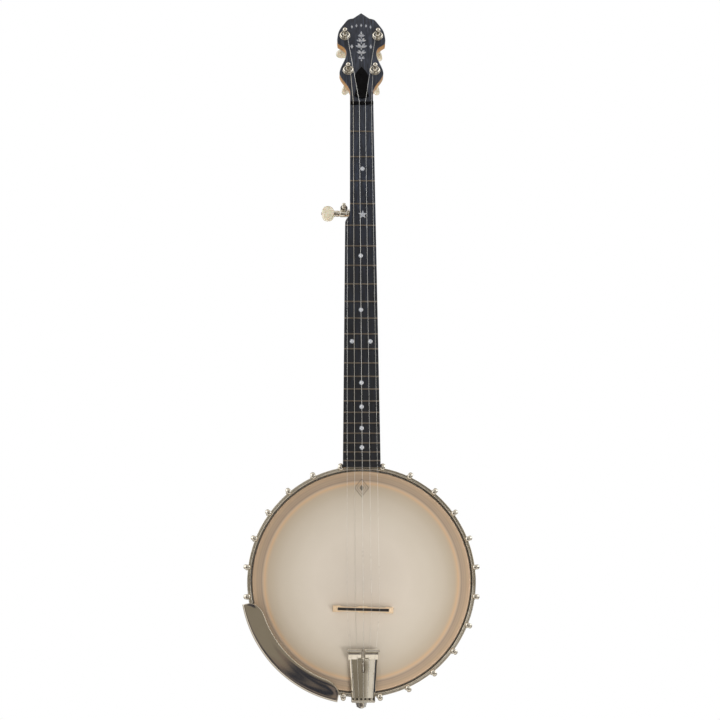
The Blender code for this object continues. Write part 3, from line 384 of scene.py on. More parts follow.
def rim_maple():
    """The rim's bent plies: grain round the rim, and a thin glue line between plies on its flat faces."""
    look = Look("rim_maple", coat_weight=0.25, coat_roughness=0.15)
    x, y, depth = look.parts(look.place())
    radius = turned_radius(look, x, y)
    angle = look.maths("ARCTAN2", y, x)
    stretched = [look.times(*pair) for pair in ((radius, 900), (depth, 900), (angle, 6))]
    around = look.add("CombineXYZ", dict(enumerate(stretched))).outputs["Vector"]
    grain = look.noise(1.0, 5, 0.6, 0.5, vector=around)
    base = look.ramp(grain, (0.30, (0.300, 0.135, 0.025)), (0.52, (0.430, 0.210, 0.042)),
                     (0.75, (0.540, 0.290, 0.070)))
    plies = look.maths("DIVIDE", look.maths("SUBTRACT", radius, RIM_INNER), (RIM_OUTER - RIM_INNER) / 3)
    line = look.spread(look.maths("PINGPONG", plies, 1.0), 1.0, 0.0, 0.0, 0.05)
    inside = look.times(look.spread(plies, 0.0, 1.0, 0.5, 0.6), look.spread(plies, 1.0, 0.0, 2.4, 2.5))
    glued = look.mix(look.times(line, inside), base, (0.12, 0.045, 0.012))
    return look.finished(glued, look.spread(grain, 0.28, 0.42), grain)


def dyed_maple():
    """Blue-black dyed maple for the fingerboard and peghead: pale streaks along Y, and painted light that
    makes it paler up the neck.
    """
    look = Look("dyed_maple")
    streaks = look.noise(520, 5, 0.65, 0.2, (1, 0.045, 1))
    figure = look.noise(240, 3, 0.6, 1.2, (0.7, 0.4, 1))
    cloud = look.noise(70, 3, stretch=(1, 0.4, 1))
    base = look.ramp(streaks, (0.32, (0.004, 0.005, 0.007)), (0.48, (0.017, 0.019, 0.026)),
                     (0.60, (0.050, 0.056, 0.074)), (0.72, (0.135, 0.145, 0.172)))
    mottled = look.mix(look.spread(figure, 0.0, 0.5, 0.40, 0.66), base, (0.052, 0.058, 0.074))
    dark = look.mix(look.spread(cloud, 0.0, 0.6, 0.45, 0.7), mottled, (0.010, 0.011, 0.014))
    # painted light and shade: multiplied darker and bluer towards the board's foot, paler towards the nut and
    # on the peghead
    up = look.parts(look.place())["Y"]
    painted_light_up_neck = look.ramp(look.spread(up, 0.0, 1.0, BOARD_END, 0.0), (0.0, (0.15, 0.16, 0.19)),
                       (0.5, (0.17, 0.22, 0.32)), (0.8, (0.40, 0.50, 0.68)), (1.0, (0.78, 0.86, 1.00)))
    return look.finished(look.mix(1.0, dark, painted_light_up_neck, "MULTIPLY"), look.spread(streaks, 0.38, 0.58),
                         streaks, 0.00004, 0.5)


def black_horn():
    """Polished black for the nut, the pip and the truss rod cover."""
    look = Look("black_horn", specular_ior_level=0.08)
    tone = look.ramp(look.noise(300), (0.35, (0.002, 0.002, 0.002)), (0.70, (0.005, 0.005, 0.006)))
    return look.finished(tone, look.spread(look.noise(1500), 0.24, 0.40))


def pearl_button():
    """Cream pearloid: swirled flakes of lighter and darker cream under a clear gloss."""
    look = Look("pearl_button", roughness=0.22, coat_weight=0.6, coat_roughness=0.06,
                subsurface_weight=0.12, subsurface_scale=0.002)
    cream = look.ramp(look.noise(170, 3, 0.5, 2.2), (0.32, (0.54, 0.45, 0.28)),
                      (0.52, (0.71, 0.65, 0.48)), (0.70, (0.82, 0.79, 0.67)))
    flakes = look.add("TexVoronoi", {"Vector": look.place(), "Scale": 420}).outputs["Distance"]
    return look.finished(look.mix(look.spread(flakes, 0.0, 0.25, 0.2, 0.7), cream, (0.86, 0.85, 0.78)))


def shell(name, white):
    """Mother-of-pearl inlay: blue-grey and warm bands, drifting through a white of the given brightness."""
    stops = ((0.30, (0.18, 0.20, 0.25)), (0.48, (0.36, 0.39, 0.45)), (0.60, (white, white, white)),
             (0.75, (0.42, 0.40, 0.40)))
    return grained(name, stops, 650, 3, 0.5, 1.5, (1, 0.4, 1),
                   roughness=0.2, coat_weight=0.4, coat_roughness=0.1)


def head_film():
    """The head's translucent amber film: clear in the middle, tinted where the rim and ring back it, with a
    painted highlight on its bend and painted shade on its skirt.
    """
    look = Look("head_film", specular_ior_level=0.35)
    edge = RIM_OUTER + GAP
    x, y, _ = look.parts(look.place())
    # (radius, colour), middle to edge: rim and ring tints, a painted highlight on the bend at 0.1388, painted
    # shade on the skirt from 0.1398
    tints_and_painted_light = (
        (0.0, (0.515, 0.461, 0.400)), (0.025, (0.552, 0.494, 0.425)), (0.060, (0.583, 0.524, 0.450)),
        (0.085, (0.545, 0.488, 0.410)), (0.104, (0.490, 0.430, 0.350)), (0.112, (0.450, 0.385, 0.303)),
        (0.1195, (0.425, 0.350, 0.264)), (RIM_INNER, (0.480, 0.355, 0.235)), (0.1236, (0.540, 0.360, 0.215)),
        (0.1248, (0.510, 0.365, 0.245)), (0.1262, (0.450, 0.335, 0.235)), (0.1272, (0.330, 0.255, 0.190)),
        (0.1284, (0.270, 0.210, 0.160)), (RING_INNER, (0.390, 0.285, 0.200)), (0.1305, (0.330, 0.252, 0.182)),
        (0.1322, (0.390, 0.290, 0.203)), (0.1334, (0.340, 0.258, 0.182)), (0.1350, (0.420, 0.300, 0.200)),
        (0.1372, (0.440, 0.315, 0.208)), (0.1388, (0.620, 0.460, 0.320)), (0.1394, (0.500, 0.370, 0.250)),
        (0.1398, (0.060, 0.045, 0.032)),
    )
    share = look.maths("DIVIDE", turned_radius(look, x, y), edge)
    tint_and_painted_light = look.ramp(share, *[(radius / edge, colour) for radius, colour in tints_and_painted_light])
    hazed = look.mix(look.spread(look.noise(22, 3), 0.0, 0.10), tint_and_painted_light, (0.42, 0.35, 0.27))
    fibre = look.noise(1400, 3)
    return look.finished(hazed, look.spread(fibre, 0.42, 0.60), fibre, 0.00002, 0.4)


def wound_wire():
    """Wire wound round a core: fine ridges along the string, with painted shade darkening the grooves between
    them.
    """
    look = Look("wound_wire", metallic=1.0, roughness=0.38)
    ridges = look.add("TexWave", {"Vector": look.place(), "Scale": 900}, bands_direction="Z").outputs["Fac"]
    # painted shade: the colour follows the ridges, darker in the grooves between the turns
    tone = look.ramp(ridges, (0.2, (0.42, 0.39, 0.33)), (0.8, (0.80, 0.76, 0.68)))
    return look.finished(tone, None, ridges, 0.00004, 0.8)


BARE_MAPLE = ((0.3, (0.60, 0.41, 0.24)), (0.5, (0.78, 0.59, 0.39)), (0.7, (0.88, 0.74, 0.54)))
EBONY = ((0.35, (0.007, 0.006, 0.006)), (0.7, (0.030, 0.024, 0.022)))
FADED_INK = ((0.4, (0.085, 0.075, 0.062)), (0.62, (0.22, 0.19, 0.155)))
STAGE_PAINT = ((0.3, (0.86, 0.86, 0.85)), (0.7, (0.90, 0.90, 0.89)))

# Each finish by name: its material and the record's material slot it stands for
FINISHES = {
    "neck": (amber_maple(), "amber_maple"),
    "rim": (rim_maple(), "amber_maple"),
    "dyed": (dyed_maple(), "dyed_maple"),
    "black": (black_horn(), "black_horn"),
    "nickel": (metal("nickel", (0.68, 0.64, 0.56), (0.60, 0.555, 0.47), 0.10, 0.20), "nickel"),
    "plate": (metal("nickel_plate", (0.68, 0.64, 0.56), (0.60, 0.56, 0.48), 0.08, 0.16), "nickel"),
    "polished": (metal("polished_nickel", (0.68, 0.63, 0.55), (0.64, 0.59, 0.51), 0.03, 0.06), "nickel"),
    "ring": (metal("ring_metal", (0.62, 0.56, 0.46), (0.52, 0.46, 0.36), 0.2, 0.34), "tone_ring_metal"),
    "steel": (metal("steel", (0.58, 0.58, 0.57), (0.46, 0.46, 0.45), 0.2, 0.36, (1, 1, 12)), "steel"),
    "wire": (metal("string_steel", (0.88, 0.87, 0.84), (0.78, 0.77, 0.73), 0.22, 0.35), "string_steel"),
    "wound": (wound_wire(), "string_steel"),
    "fret": (metal("fret_wire", (0.24, 0.21, 0.175), (0.18, 0.15, 0.12), 0.24, 0.38, (0.1, 1, 1)), "nickel"),
    "film": (head_film(), "head_film"),
    "pearl": (pearl_button(), "pearl"),
    "shell": (shell("shell", 0.60), "pearl"),
    "bright_shell": (shell("bright_shell", 0.95), "pearl"),
    "bridge": (grained("bare_maple", BARE_MAPLE, 900, 4, 0.6, 0.3, (0.06, 1, 1), 0.00003, roughness=0.5),
               "bridge_maple"),
    "ebony": (grained("ebony", EBONY, 1300, stretch=(0.08, 1, 1), bump=0.00002, roughness=0.4), "black_horn"),
    "ink": (grained("ink", FADED_INK, 900, roughness=0.6, specular_ior_level=0.2), "black_horn"),
}


# ---------------------------------------------------------------- shapes

def turned(profile, segments=72):
    """A closed outline of (radius, height) points turned about Z."""
    shape = bmesh.new()
    rings = []
    for radius, height in profile:
        if radius < 1e-7:
            rings.append([shape.verts.new((0, 0, height))] * segments)
            continue
        angles = [TURN * index / segments for index in range(segments)]
        rings.append([shape.verts.new((radius * math.cos(a), radius * math.sin(a), height)) for a in angles])
    for first, second in zip(rings, rings[1:] + rings[:1]):
        for index in range(segments):
            after = (index + 1) % segments
            corners = dict.fromkeys((first[index], first[after], second[after], second[index]))
            if len(corners) > 2:
                shape.faces.new(corners)
    return shape


def lofted(rings):
    """A solid through rings of points, with a face at each end."""
    shape = bmesh.new()
    loops = [[shape.verts.new(point) for point in ring] for ring in rings]
    for first, second in zip(loops, loops[1:]):
        for index in range(len(first)):
            after = (index + 1) % len(first)
            shape.faces.new((first[index], first[after], second[after], second[index]))
    shape.faces.new(loops[0])
    shape.faces.new(loops[-1])
    return shape


def rounded(points, radius, steps=3):
    """A closed outline with a small curve at each corner that is off the turning axis."""
    result = []
    for index, point in enumerate(points):
        corner = Vector(point)
        before = Vector(points[index - 1]) - corner
        after = Vector(points[(index + 1) % len(points)]) - corner
        reach = min(radius, before.length * 0.45, after.length * 0.45)
        if abs(corner.x) < 1e-7:
            result.append(corner)
            continue
        start = corner + before.normalized() * reach
        end = corner + after.normalized() * reach
        for step in range(steps + 1):
            t = step / steps
            result.append(start * (1 - t) ** 2 + corner * 2 * t * (1 - t) + end * t**2)
    return result


def lathed(profile, segments=48, edge=0.0003, steps=3):
    """An outline turned about Z, its corners rounded by edge."""
    return turned(rounded(profile, edge, steps), segments)


def band(low, high, outer, inner=0.0):
    """The outline of a disc or, with an inner radius, of a ring, to be turned."""
    return ((inner, low), (outer, low), (outer, high), (inner, high))


def inset(outline, distance):
    """An anticlockwise outline moved inwards."""
    inner = []
    for index, point in enumerate(outline):
        ahead = Vector(outline[(index + 1) % len(outline)]) - Vector(outline[index - 1])
        inner.append(Vector(point) + distance * Vector((-ahead.y, ahead.x)).normalized())
    return inner


def slab(outline, low, high, edge, steps=3):
    """An outline of (x, y) points raised from low to high, its edges rounded at both faces."""
    outline = [Vector(point) for point in outline]
    area = sum(a.cross(b) for a, b in zip(outline, outline[1:] + outline[:1]))
    if area < 0:
        outline.reverse()
    rings = []
    turns = [QUARTER * step / steps for step in range(steps + 1)]
    for side, face, order in ((1, low, turns), (-1, high, turns[::-1])):
        for a in order:
            height = face + side * edge * (1 - math.cos(a))
            rings.append([(p.x, p.y, height) for p in inset(outline, edge * (1 - math.sin(a)))])
    return lofted(rings)


def box(low, high, edge=0.0003):
    """A block with rounded edges."""
    outline = ((low[0], low[1]), (high[0], low[1]), (high[0], high[1]), (low[0], high[1]))
    return slab(rounded(outline, edge), low[2], high[2], edge)


def cutter(low, high):
    """A plain block to cut a slot with."""
    return lofted([[(low[0], low[1], z), (high[0], low[1], z), (high[0], high[1], z), (low[0], high[1], z)]
                   for z in (low[2], high[2])])


def tube(path, radii, sides=16):
    """A round rod along a path of points. Radii is one radius or one for each point."""
    path = [Vector(point) for point in path]
    if not isinstance(radii, (list, tuple)):
        radii = [radii] * len(path)
    side = (path[1] - path[0]).orthogonal().normalized()
    rings = []
    for index, (point, radius) in enumerate(zip(path, radii)):
        ahead = (path[min(index + 1, len(path) - 1)] - path[max(index - 1, 0)]).normalized()
        side = (side - ahead * side.dot(ahead)).normalized()
        across = ahead.cross(side)
        angles = [TURN * step / sides for step in range(sides)]
        rings.append([point + radius * (math.cos(a) * side + math.sin(a) * across) for a in angles])
    return lofted(rings)


def moved(shape, matrix):
    shape.transform(matrix)
    return shape


def as_mesh(name, shape, crisp=None):
    """The shape as a mesh with its faces pointing out, smooth but for edges sharper than crisp degrees."""
    bmesh.ops.recalc_face_normals(shape, faces=shape.faces)
    mesh = bpy.data.meshes.new(name)
    shape.to_mesh(mesh)
    shape.free()
    if crisp:
        mesh.shade_smooth()
        mesh.set_sharp_from_angle(angle=math.radians(crisp))
    return mesh


def linked(name, data):
    """A new object in the scene."""
    obj = bpy.data.objects.new(name, data)
    bpy.context.scene.collection.objects.link(obj)
    return obj


def merged(*shapes):
    """Several shapes in one."""
    result = bmesh.new()
    for shape in shapes:
        mesh = as_mesh("part", shape)
        result.from_mesh(mesh)
        bpy.data.meshes.remove(mesh)
    return result


def combined(shape, others, operation):
    """A shape joined to others, or cut by them."""
    base, *tools = [linked("temporary", as_mesh("temporary", part)) for part in (shape, *others)]
    for tool in tools:
        modifier = base.modifiers.new("combine", "BOOLEAN")
        modifier.operation = operation
        modifier.solver = "EXACT"
        modifier.object = tool
    bpy.context.view_layer.update()
    evaluated = base.evaluated_get(bpy.context.evaluated_depsgraph_get())
    result = bmesh.new()
    result.from_mesh(evaluated.to_mesh())
    evaluated.to_mesh_clear()
    for obj in (base, *tools):
        bpy.data.objects.remove(obj)
    return result


def smooth_curve(points, steps=8):
    """Points along a smooth curve (Catmull-Rom) through the given ones, without its last."""
    points = [Vector(point) for point in points]
    padded = [2 * points[0] - points[1], *points, 2 * points[-1] - points[-2]]
    curve = []
    for before, start, end, after in zip(padded, padded[1:], padded[2:], padded[3:]):
        for step in range(steps):
            t = step / steps
            square = (2 * before - 5 * start + 4 * end - after) * t**2
            cube = (3 * (start - end) + after - before) * t**3
            curve.append(start + ((end - before) * t + (square + cube)) / 2)
    return curve


def mirrored(stretches, foot=()):
    """A whole outline from the stretches of its right side, which end on the centreline."""
    right = [Vector(point) for point in foot]
    for points in stretches:
        right += [Vector(points[0])] if len(points) == 2 else smooth_curve(points)
    return [*right, Vector(stretches[-1][-1]), *[Vector((-p.x, p.y)) for p in reversed(right)]]


def height_at(value, points):
    """The height at a value along (value, height) points, joined by straight lines."""
    for (low, first), (high, second) in zip(points, points[1:]):
        if value <= high:
            return first + (second - first) * max((value - low) / (high - low), 0.0)
    return points[-1][1]


def round_over(share):
    """1 at the start of a quarter circle, falling to 0 at its end and beyond."""
    return 1 - math.sqrt(1 - (1 - min(share, 1.0)) ** 2)


def oval(half_width, half_height, power=2.0, count=32):
    """A closed superellipse: power 2 is an ellipse, and a larger one a squarer shape."""
    points = []
    for index in range(count):
        c = math.cos(TURN * index / count)
        s = math.sin(TURN * index / count)
        points.append((math.copysign(abs(c) ** (2 / power), c) * half_width,
                       math.copysign(abs(s) ** (2 / power), s) * half_height))
    return points


# ---------------------------------------------------------------- pieces

def add_piece(name, mesh, finish, body="root", place=WORLD, replaces=None):
    """A visible piece with its finish, riding on a CAD body and standing for the node it replaces."""
    obj = linked(name, mesh)
    obj.matrix_world = place
    material, slot = FINISHES[finish]
    if not mesh.materials:
        mesh.materials.append(material)
    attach(obj, body)
    if replaces:
        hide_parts(replaces)


def piece(name, shape, finish, body="root", place=WORLD, replaces=None, crisp=32):
    add_piece(name, as_mesh(name, shape, crisp), finish, body, place, replaces)


def fret_distance(number):
    return SCALE_LENGTH * (1 - 2 ** (-number / 12))


def right_edge(z):
    return NUT_HALF_WIDTH + (END_HALF_WIDTH - NUT_HALF_WIDTH) * z / BOARD_END


def left_edge(z):
    """The edge on the fifth peg's side, with the fifth string's shoulder."""
    if z > SHOULDER_TOP:
        return -NUT_HALF_WIDTH
    if z > SHOULDER_FOOT:
        eased = math.sin((SHOULDER_TOP - z) / (SHOULDER_TOP - SHOULDER_FOOT) * QUARTER)
        return -(NUT_HALF_WIDTH + (SHOULDER_HALF_WIDTH - NUT_HALF_WIDTH) * eased)
    share = (SHOULDER_FOOT - z) / (SHOULDER_FOOT - BOARD_END)
    return -(SHOULDER_HALF_WIDTH + (END_HALF_WIDTH - SHOULDER_HALF_WIDTH) * share)


def shoulder_stations(steps=12):
    return [SHOULDER_TOP + (SHOULDER_FOOT - SHOULDER_TOP) * step / steps for step in range(steps + 1)]


def neck_section(z, top, depth, roundness, narrowing=1.0):
    """A flat-topped, round-backed section of the neck."""
    ring = []
    for step in range(NECK_POINTS + 1):
        angle = math.pi * step / NECK_POINTS
        edge = right_edge(z) if angle < QUARTER else -left_edge(z)
        reach = math.copysign(abs(math.cos(angle)) ** roundness, math.cos(angle))
        ring.append((edge * reach * narrowing, top + depth * math.sin(angle) ** roundness, z))
    return ring


def neck_shaft():
    """The neck from its narrow end under the peghead down to its heel."""
    wood_top = BOARD_THICKNESS + GAP
    under_overlay = PEGHEAD_FACE_DEPTH + OVERLAY_THICKNESS + 2 * GAP
    rings = []
    for height, back, narrowing in NECK_TIP:
        top = max(under_overlay + height * math.tan(PEGHEAD_TILT), wood_top + GAP)
        ring = neck_section(0.0, top, back - top, NECK_ROUNDNESS, narrowing)
        rings.append([(x, y, height) for x, y, _ in ring])
    depths = [*smooth_curve(NECK_DEPTHS, 5), Vector(NECK_DEPTHS[-1])]
    for z in sorted([-distance for distance, _ in depths] + shoulder_stations(), reverse=True):
        heel = max(0.0, min((-z - HEEL_START) / HEEL_BLEND, 1.0))
        roundness = NECK_ROUNDNESS + (HEEL_ROUNDNESS - NECK_ROUNDNESS) * heel
        rings.append(neck_section(z, wood_top, height_at(-z, depths), roundness))
    return lofted(rings)


def make_neck():
    """The neck with its heel cut to the rim, and the wood of the peghead behind its overlay."""
    outline = mirrored(PEGHEAD_SIDE, [(NUT_HALF_WIDTH - 0.0002, 0.0012)])
    peghead = moved(slab(outline, -PEGHEAD_THICKNESS, -OVERLAY_THICKNESS, 0.0007), PEGHEAD)
    hoop, rim, step = HOOP_OUTER + GAP, RIM_OUTER + GAP, FLESH_BACK + GAP
    room = turned(((0, -0.01), (hoop, -0.01), (hoop, step), (rim, step), (rim, 0.09), (0, 0.09)), 240)
    shaft = combined(neck_shaft(), [moved(room, POT)], "DIFFERENCE")
    piece("neck_wood", combined(shaft, [peghead], "UNION"), "neck", replaces="neck")


def fret_shape(z):
    """A crowned fret across the board, its ends filed to a slope."""
    left = left_edge(z) + 0.0002
    right = right_edge(z) - 0.0002
    angles = [math.pi * step / 10 for step in range(11)]
    rings = []
    for x, share in ((left, 0.25), (left + 0.0007, 1.0), (right - 0.0007, 1.0), (right, 0.25)):
        crown = [(FRET_HALF_WIDTH * math.cos(a), FRET_HEIGHT * share * math.sin(a)) for a in angles]
        section = [(FRET_HALF_WIDTH, -GAP), *crown, (-FRET_HALF_WIDTH, -GAP)]
        rings.append([(x, z + along, out) for along, out in section])
    return lofted(rings)


def star_shape(radius, points=5, waist=0.42):
    """A star, with its inner corners at a share of its radius."""
    outline = []
    for index in range(2 * points):
        reach = radius * (waist if index % 2 else 1.0)
        angle = QUARTER + math.pi * index / points
        outline.append((reach * math.cos(angle), reach * math.sin(angle)))
    return slab(outline, -INLAY_DEPTH, 0.00006, 0.0001, 1)


def between_frets(number):
    z = -(fret_distance(number - 1) + fret_distance(number)) / 2
    return (left_edge(z) + right_edge(z)) / 2, z


def make_fingerboard():
    """The board, its frets, and its dots and star."""
    left_stations = (BOARD_END, *reversed(shoulder_stations()), -GAP)
    outline = [(right_edge(z), z) for z in (-GAP, BOARD_END)] + [(left_edge(z), z) for z in left_stations]
    piece("fingerboard_wood", slab(outline, -BOARD_THICKNESS, 0.0, 0.0005), "dyed", place=FRONT,
          replaces="fingerboard")
    for number in range(1, FRET_COUNT + 1):
        piece(f"fret_{number:02d}", fret_shape(-fret_distance(number)), "fret", place=FRONT, crisp=50)
    dots = [between_frets(number) for number in DOT_FRETS]
    middle, z = between_frets(DOUBLE_DOT_FRET)
    dots += [(middle - DOUBLE_DOT_OFFSET, z), (middle + DOUBLE_DOT_OFFSET, z)]
    for number, (x, z) in enumerate(dots, start=1):
        dot = lathed(band(-INLAY_DEPTH, 0.00006, DOT_RADIUS), 40, 0.0001)
        piece(f"inlay_dot_{number}", dot, "bright_shell", place=FRONT @ at(x, z, 0))
    x, z = between_frets(STAR_FRET)
    piece("inlay_star", star_shape(STAR_RADIUS), "shell", place=FRONT @ at(x, z, 0))


def screw_shape(radius, height):
    """A round-headed screw with a straight slot, its seat at height 0."""
    head = turned(((0, -0.0010), (radius * 0.6, -0.0010), (radius, 0), (radius * 0.96, height * 0.5),
                   (radius * 0.7, height * 0.9), (0, height)), 32)
    slot = cutter((-radius * 1.2, -radius * 0.16, height * 0.45), (radius * 1.2, radius * 0.16, height * 2))
    return combined(head, [slot], "DIFFERENCE")


def lozenge(half_width, half_height, centre=(0.0, 0.0)):
    corners = ((half_width, 0), (0, half_height), (-half_width, 0), (0, -half_height))
    return [Vector(corner) + Vector(centre) for corner in corners]


def petal(length, half_width, turn, centre):
    """A leaf shape pointing away from a centre."""
    side = [(length * step / 8, half_width * math.sin(math.pi * step / 8) ** 0.8) for step in range(9)]
    outline = side + [(along, -across) for along, across in side[8:0:-1]]
    rotation = Matrix.Rotation(turn, 2)
    return [rotation @ Vector(point) + Vector(centre) for point in outline]


def make_peghead():
    """The peghead's face, the truss rod cover with its screws, and the inlay."""
    outline = mirrored(PEGHEAD_SIDE, [(NUT_HALF_WIDTH - 0.0002, NUT_LENGTH + GAP)])
    piece("peghead_face", slab(outline, -OVERLAY_THICKNESS, 0.0, 0.0005), "dyed", place=PEGHEAD,
          replaces="peghead_overlay")
    cover = slab([(0.0, COVER_FOOT), *mirrored(COVER_SIDE)], 0.0, COVER_THICKNESS, 0.0005)
    piece("truss_cover_plate", cover, "black", place=PEGHEAD, replaces="truss_rod_cover")
    for number, height in enumerate(COVER_SCREWS, start=1):
        piece(f"truss_cover_screw_{number}", screw_shape(0.0013, 0.0007), "black",
              place=PEGHEAD @ at(0, height, COVER_THICKNESS, 0.6 * number, "Z"))
    # a plain column of leaves and an arc of lozenges, in place of a maker's inlay
    flakes = []
    for height, length in LEAF_ROWS:
        for lean in (0.35, 0.95):
            flakes += [petal(length, length * 0.19, angle, (0.0, height)) for angle in (lean, math.pi - lean)]
        flakes.append(lozenge(0.0011, 0.0020, (0.0, height - 0.0022)))
    flakes.append(petal(0.0060, 0.0013, QUARTER, (0.0, 0.1112)))
    flakes += [lozenge(0.0020, 0.0036, (side * 0.0130, 0.0925)) for side in (-1, 1)]
    for index in range(-2, 3):
        lean = 0.20 * index
        centre = (ARC_RADIUS * math.sin(lean), ARC_HEIGHT + ARC_RADIUS * math.cos(lean))
        flakes.append(lozenge(0.0015, 0.0028, centre))
    inlay = merged(*[slab(outline, -0.0008, 0.00005, 0.00008, 1) for outline in flakes])
    piece("peghead_inlay", inlay, "shell", place=PEGHEAD)


def string_x(number, z):
    """How far a string lies from the centreline: string 0 is the fifth, 1 the fourth and so on."""
    step = number - 2
    bridge = STRING_BAND_OFFSET + BRIDGE_SPACING * step
    if z < BRIDGE_Z:
        foot = STRING_BAND_OFFSET + TAIL_SPACING * step
        return bridge + (foot - bridge) * (BRIDGE_Z - z) / (BRIDGE_Z - PLATE_FOOT)
    if number == 0:
        return FIFTH_NUT_X + (bridge - FIFTH_NUT_X) * (FIFTH_NUT_Z - z) / (FIFTH_NUT_Z - BRIDGE_Z)
    nut = NUT_OFFSET + NUT_SPACING * (step - 0.5)
    return nut + (bridge - nut) * z / BRIDGE_Z


def make_nuts():
    """The nut with a slot for each of four strings, and the fifth string's pip."""
    top = NUT_STRING_DEPTH - 0.0003
    profile = rounded(((top + 0.0006, 0.0001), (top, NUT_LENGTH * 0.35), (top + 0.0010, NUT_LENGTH),
                       (BOARD_THICKNESS, NUT_LENGTH), (BOARD_THICKNESS, 0.0001)), 0.0005)
    nut = lofted([[(x, y, z) for y, z in profile] for x in (-NUT_HALF_WIDTH, NUT_HALF_WIDTH)])
    slots = []
    for number in range(1, 5):
        x = string_x(number, 0.0)
        half = STRING_DIAMETERS[number] / 2 + 0.0001
        slots.append(cutter((x - half, top - 0.001, -0.001), (x + half, NUT_STRING_DEPTH + half, 0.006)))
    piece("nut_bone", combined(nut, slots, "DIFFERENCE"), "black", replaces="nut")
    pip = lathed(((0, 0), (0.0012, 0), (0.0012, 0.0016), (0, 0.0020)), 24)
    slot = cutter((-0.0002, -0.002, 0.0016), (0.0002, 0.002, 0.003))
    piece("fifth_nut_pip", combined(pip, [slot], "DIFFERENCE"), "black",
          place=FRONT @ at(string_x(0, FIFTH_NUT_Z), FIFTH_NUT_Z, 0), replaces="fifth_string_nut")


def string_contacts(number):
    """The points that a string runs straight between, from the nut or its pip to the tailpiece."""
    if number == 0:
        over_nut = [(NUT_STRING_DEPTH - 0.0006, FIFTH_NUT_Z)]
    else:
        over_nut = [(NUT_STRING_DEPTH, NUT_LENGTH * 0.8), (NUT_STRING_DEPTH, NUT_LENGTH * 0.2)]
    over_bridge = [(BRIDGE_STRING_DEPTH, BRIDGE_Z + along) for along in (0.0008, -0.0008)]
    tail = [(BAR_STRING_DEPTH, BAR_Z + 0.0010), (BAR_STRING_DEPTH + 0.0002, BAR_Z - 0.0010),
            (TAIL_STRING_DEPTH, PLATE_FOOT + 0.0032), (TAIL_STRING_DEPTH + 0.0012, PLATE_FOOT + 0.0024)]
    return [(string_x(number, z), y, z) for y, z in (*over_nut, *over_bridge, *tail)]


def make_strings():
    """Each string from its post over the nut and bridge to the tailpiece, and its winding on the post."""
    # (peg, frame of its post, x and y that the string leaves it at, radius and top of the winding)
    posts = [("fifth", FIFTH_POST, 1, 0, FIFTH_POST_WAIST, FIFTH_WINDING_TOP)]
    for name, x, height, _ in PEG_PLACES:
        inward = -math.copysign(1, x)
        posts.append((name, PEGHEAD @ at(x, height, 0), inward, -0.001, POST_WAIST, WINDING_TOP))
    for number, diameter in enumerate(STRING_DIAMETERS):
        name, axis, side, y, waist, top = posts[number]
        label = 5 - number
        radius = diameter / 2
        reach = waist + radius
        leaves = Vector((side * reach, y, top))
        finish = "wound" if number == 1 else "wire"
        piece(f"string_{label}_wire", tube([axis @ leaves, *string_contacts(number)], radius, 10), finish,
              replaces=f"string_{label}")
        start = math.atan2(leaves.y, leaves.x)
        helix = []
        for step in range(WINDING_STEPS + 1):
            turns = WINDING_COILS * step / WINDING_STEPS
            angle = start + TURN * turns
            height = top - turns * diameter * WINDING_PITCH
            helix.append((reach * math.cos(angle), reach * math.sin(angle), height))
        piece(f"string_{label}_winding", tube(helix, radius, 8), finish, f"peg_{name}_post", axis)


def button_shape(start):
    """A pearl button along -Z from its collar: full, slightly flattened and rounded at its end."""
    rings = []
    for along, wide, thick in smooth_curve(BUTTON_SECTIONS, 5):
        outline = oval(BUTTON_HALF_WIDTH * wide, BUTTON_HALF_THICKNESS * thick, 2.5, 40)
        z = start - (BUTTON_LENGTH - BUTTON_SCREW_HEIGHT) * along
        rings.append([(x, y, z) for x, y in outline])
    return lofted(rings)


def add_button_fittings(name, place, base, half_width, half_end):
    """The collar between a peg's case, which ends at base, and its button, and the button's screw."""
    start = base + BUTTON_START - CASE_END
    shank = 0.0022
    collar = ((0, base + 0.002), (shank, base + 0.002), (shank, base - GAP), (half_width, base - GAP),
              (half_end, start - 0.0006), (0, start - 0.0006))
    piece(f"peg_{name}_collar", lathed(collar, 36), "nickel", f"peg_{name}_button", place)
    end = start - BUTTON_LENGTH + BUTTON_SCREW_HEIGHT
    screw = moved(screw_shape(0.0020, BUTTON_SCREW_HEIGHT), at(0, 0, end, math.pi))
    piece(f"peg_{name}_screw", screw, "nickel", f"peg_{name}_button", place)


def post_shape(tip, waist_top, waist_foot, radius, waist, foot):
    """A string post: a domed tip, a waist that the string winds on, and a hole for the string."""
    rise = min(radius, tip - waist_top - 0.0014)
    angles = [QUARTER * step / 6 for step in range(6, -1, -1)]
    dome = [(radius * math.cos(a), tip - rise * (1 - math.sin(a))) for a in angles]
    profile = [*dome, (radius, waist_top + 0.0012), (waist, waist_top), (waist, waist_foot),
               (radius, waist_foot - 0.0010), (radius, foot), (0, foot)]
    hole = moved(turned(band(-0.01, 0.01, 0.0007), 16), at(0, 0, waist_top - 0.0006, QUARTER, "Y"))
    return combined(turned(profile, 40), [hole], "DIFFERENCE")


def hexagon(radius, low, high, chamfer=0.0004):
    return turned(((0, low), (radius - chamfer, low), (radius, low + chamfer), (radius, high - chamfer),
                   (radius - chamfer, high), (0, high)), 6)


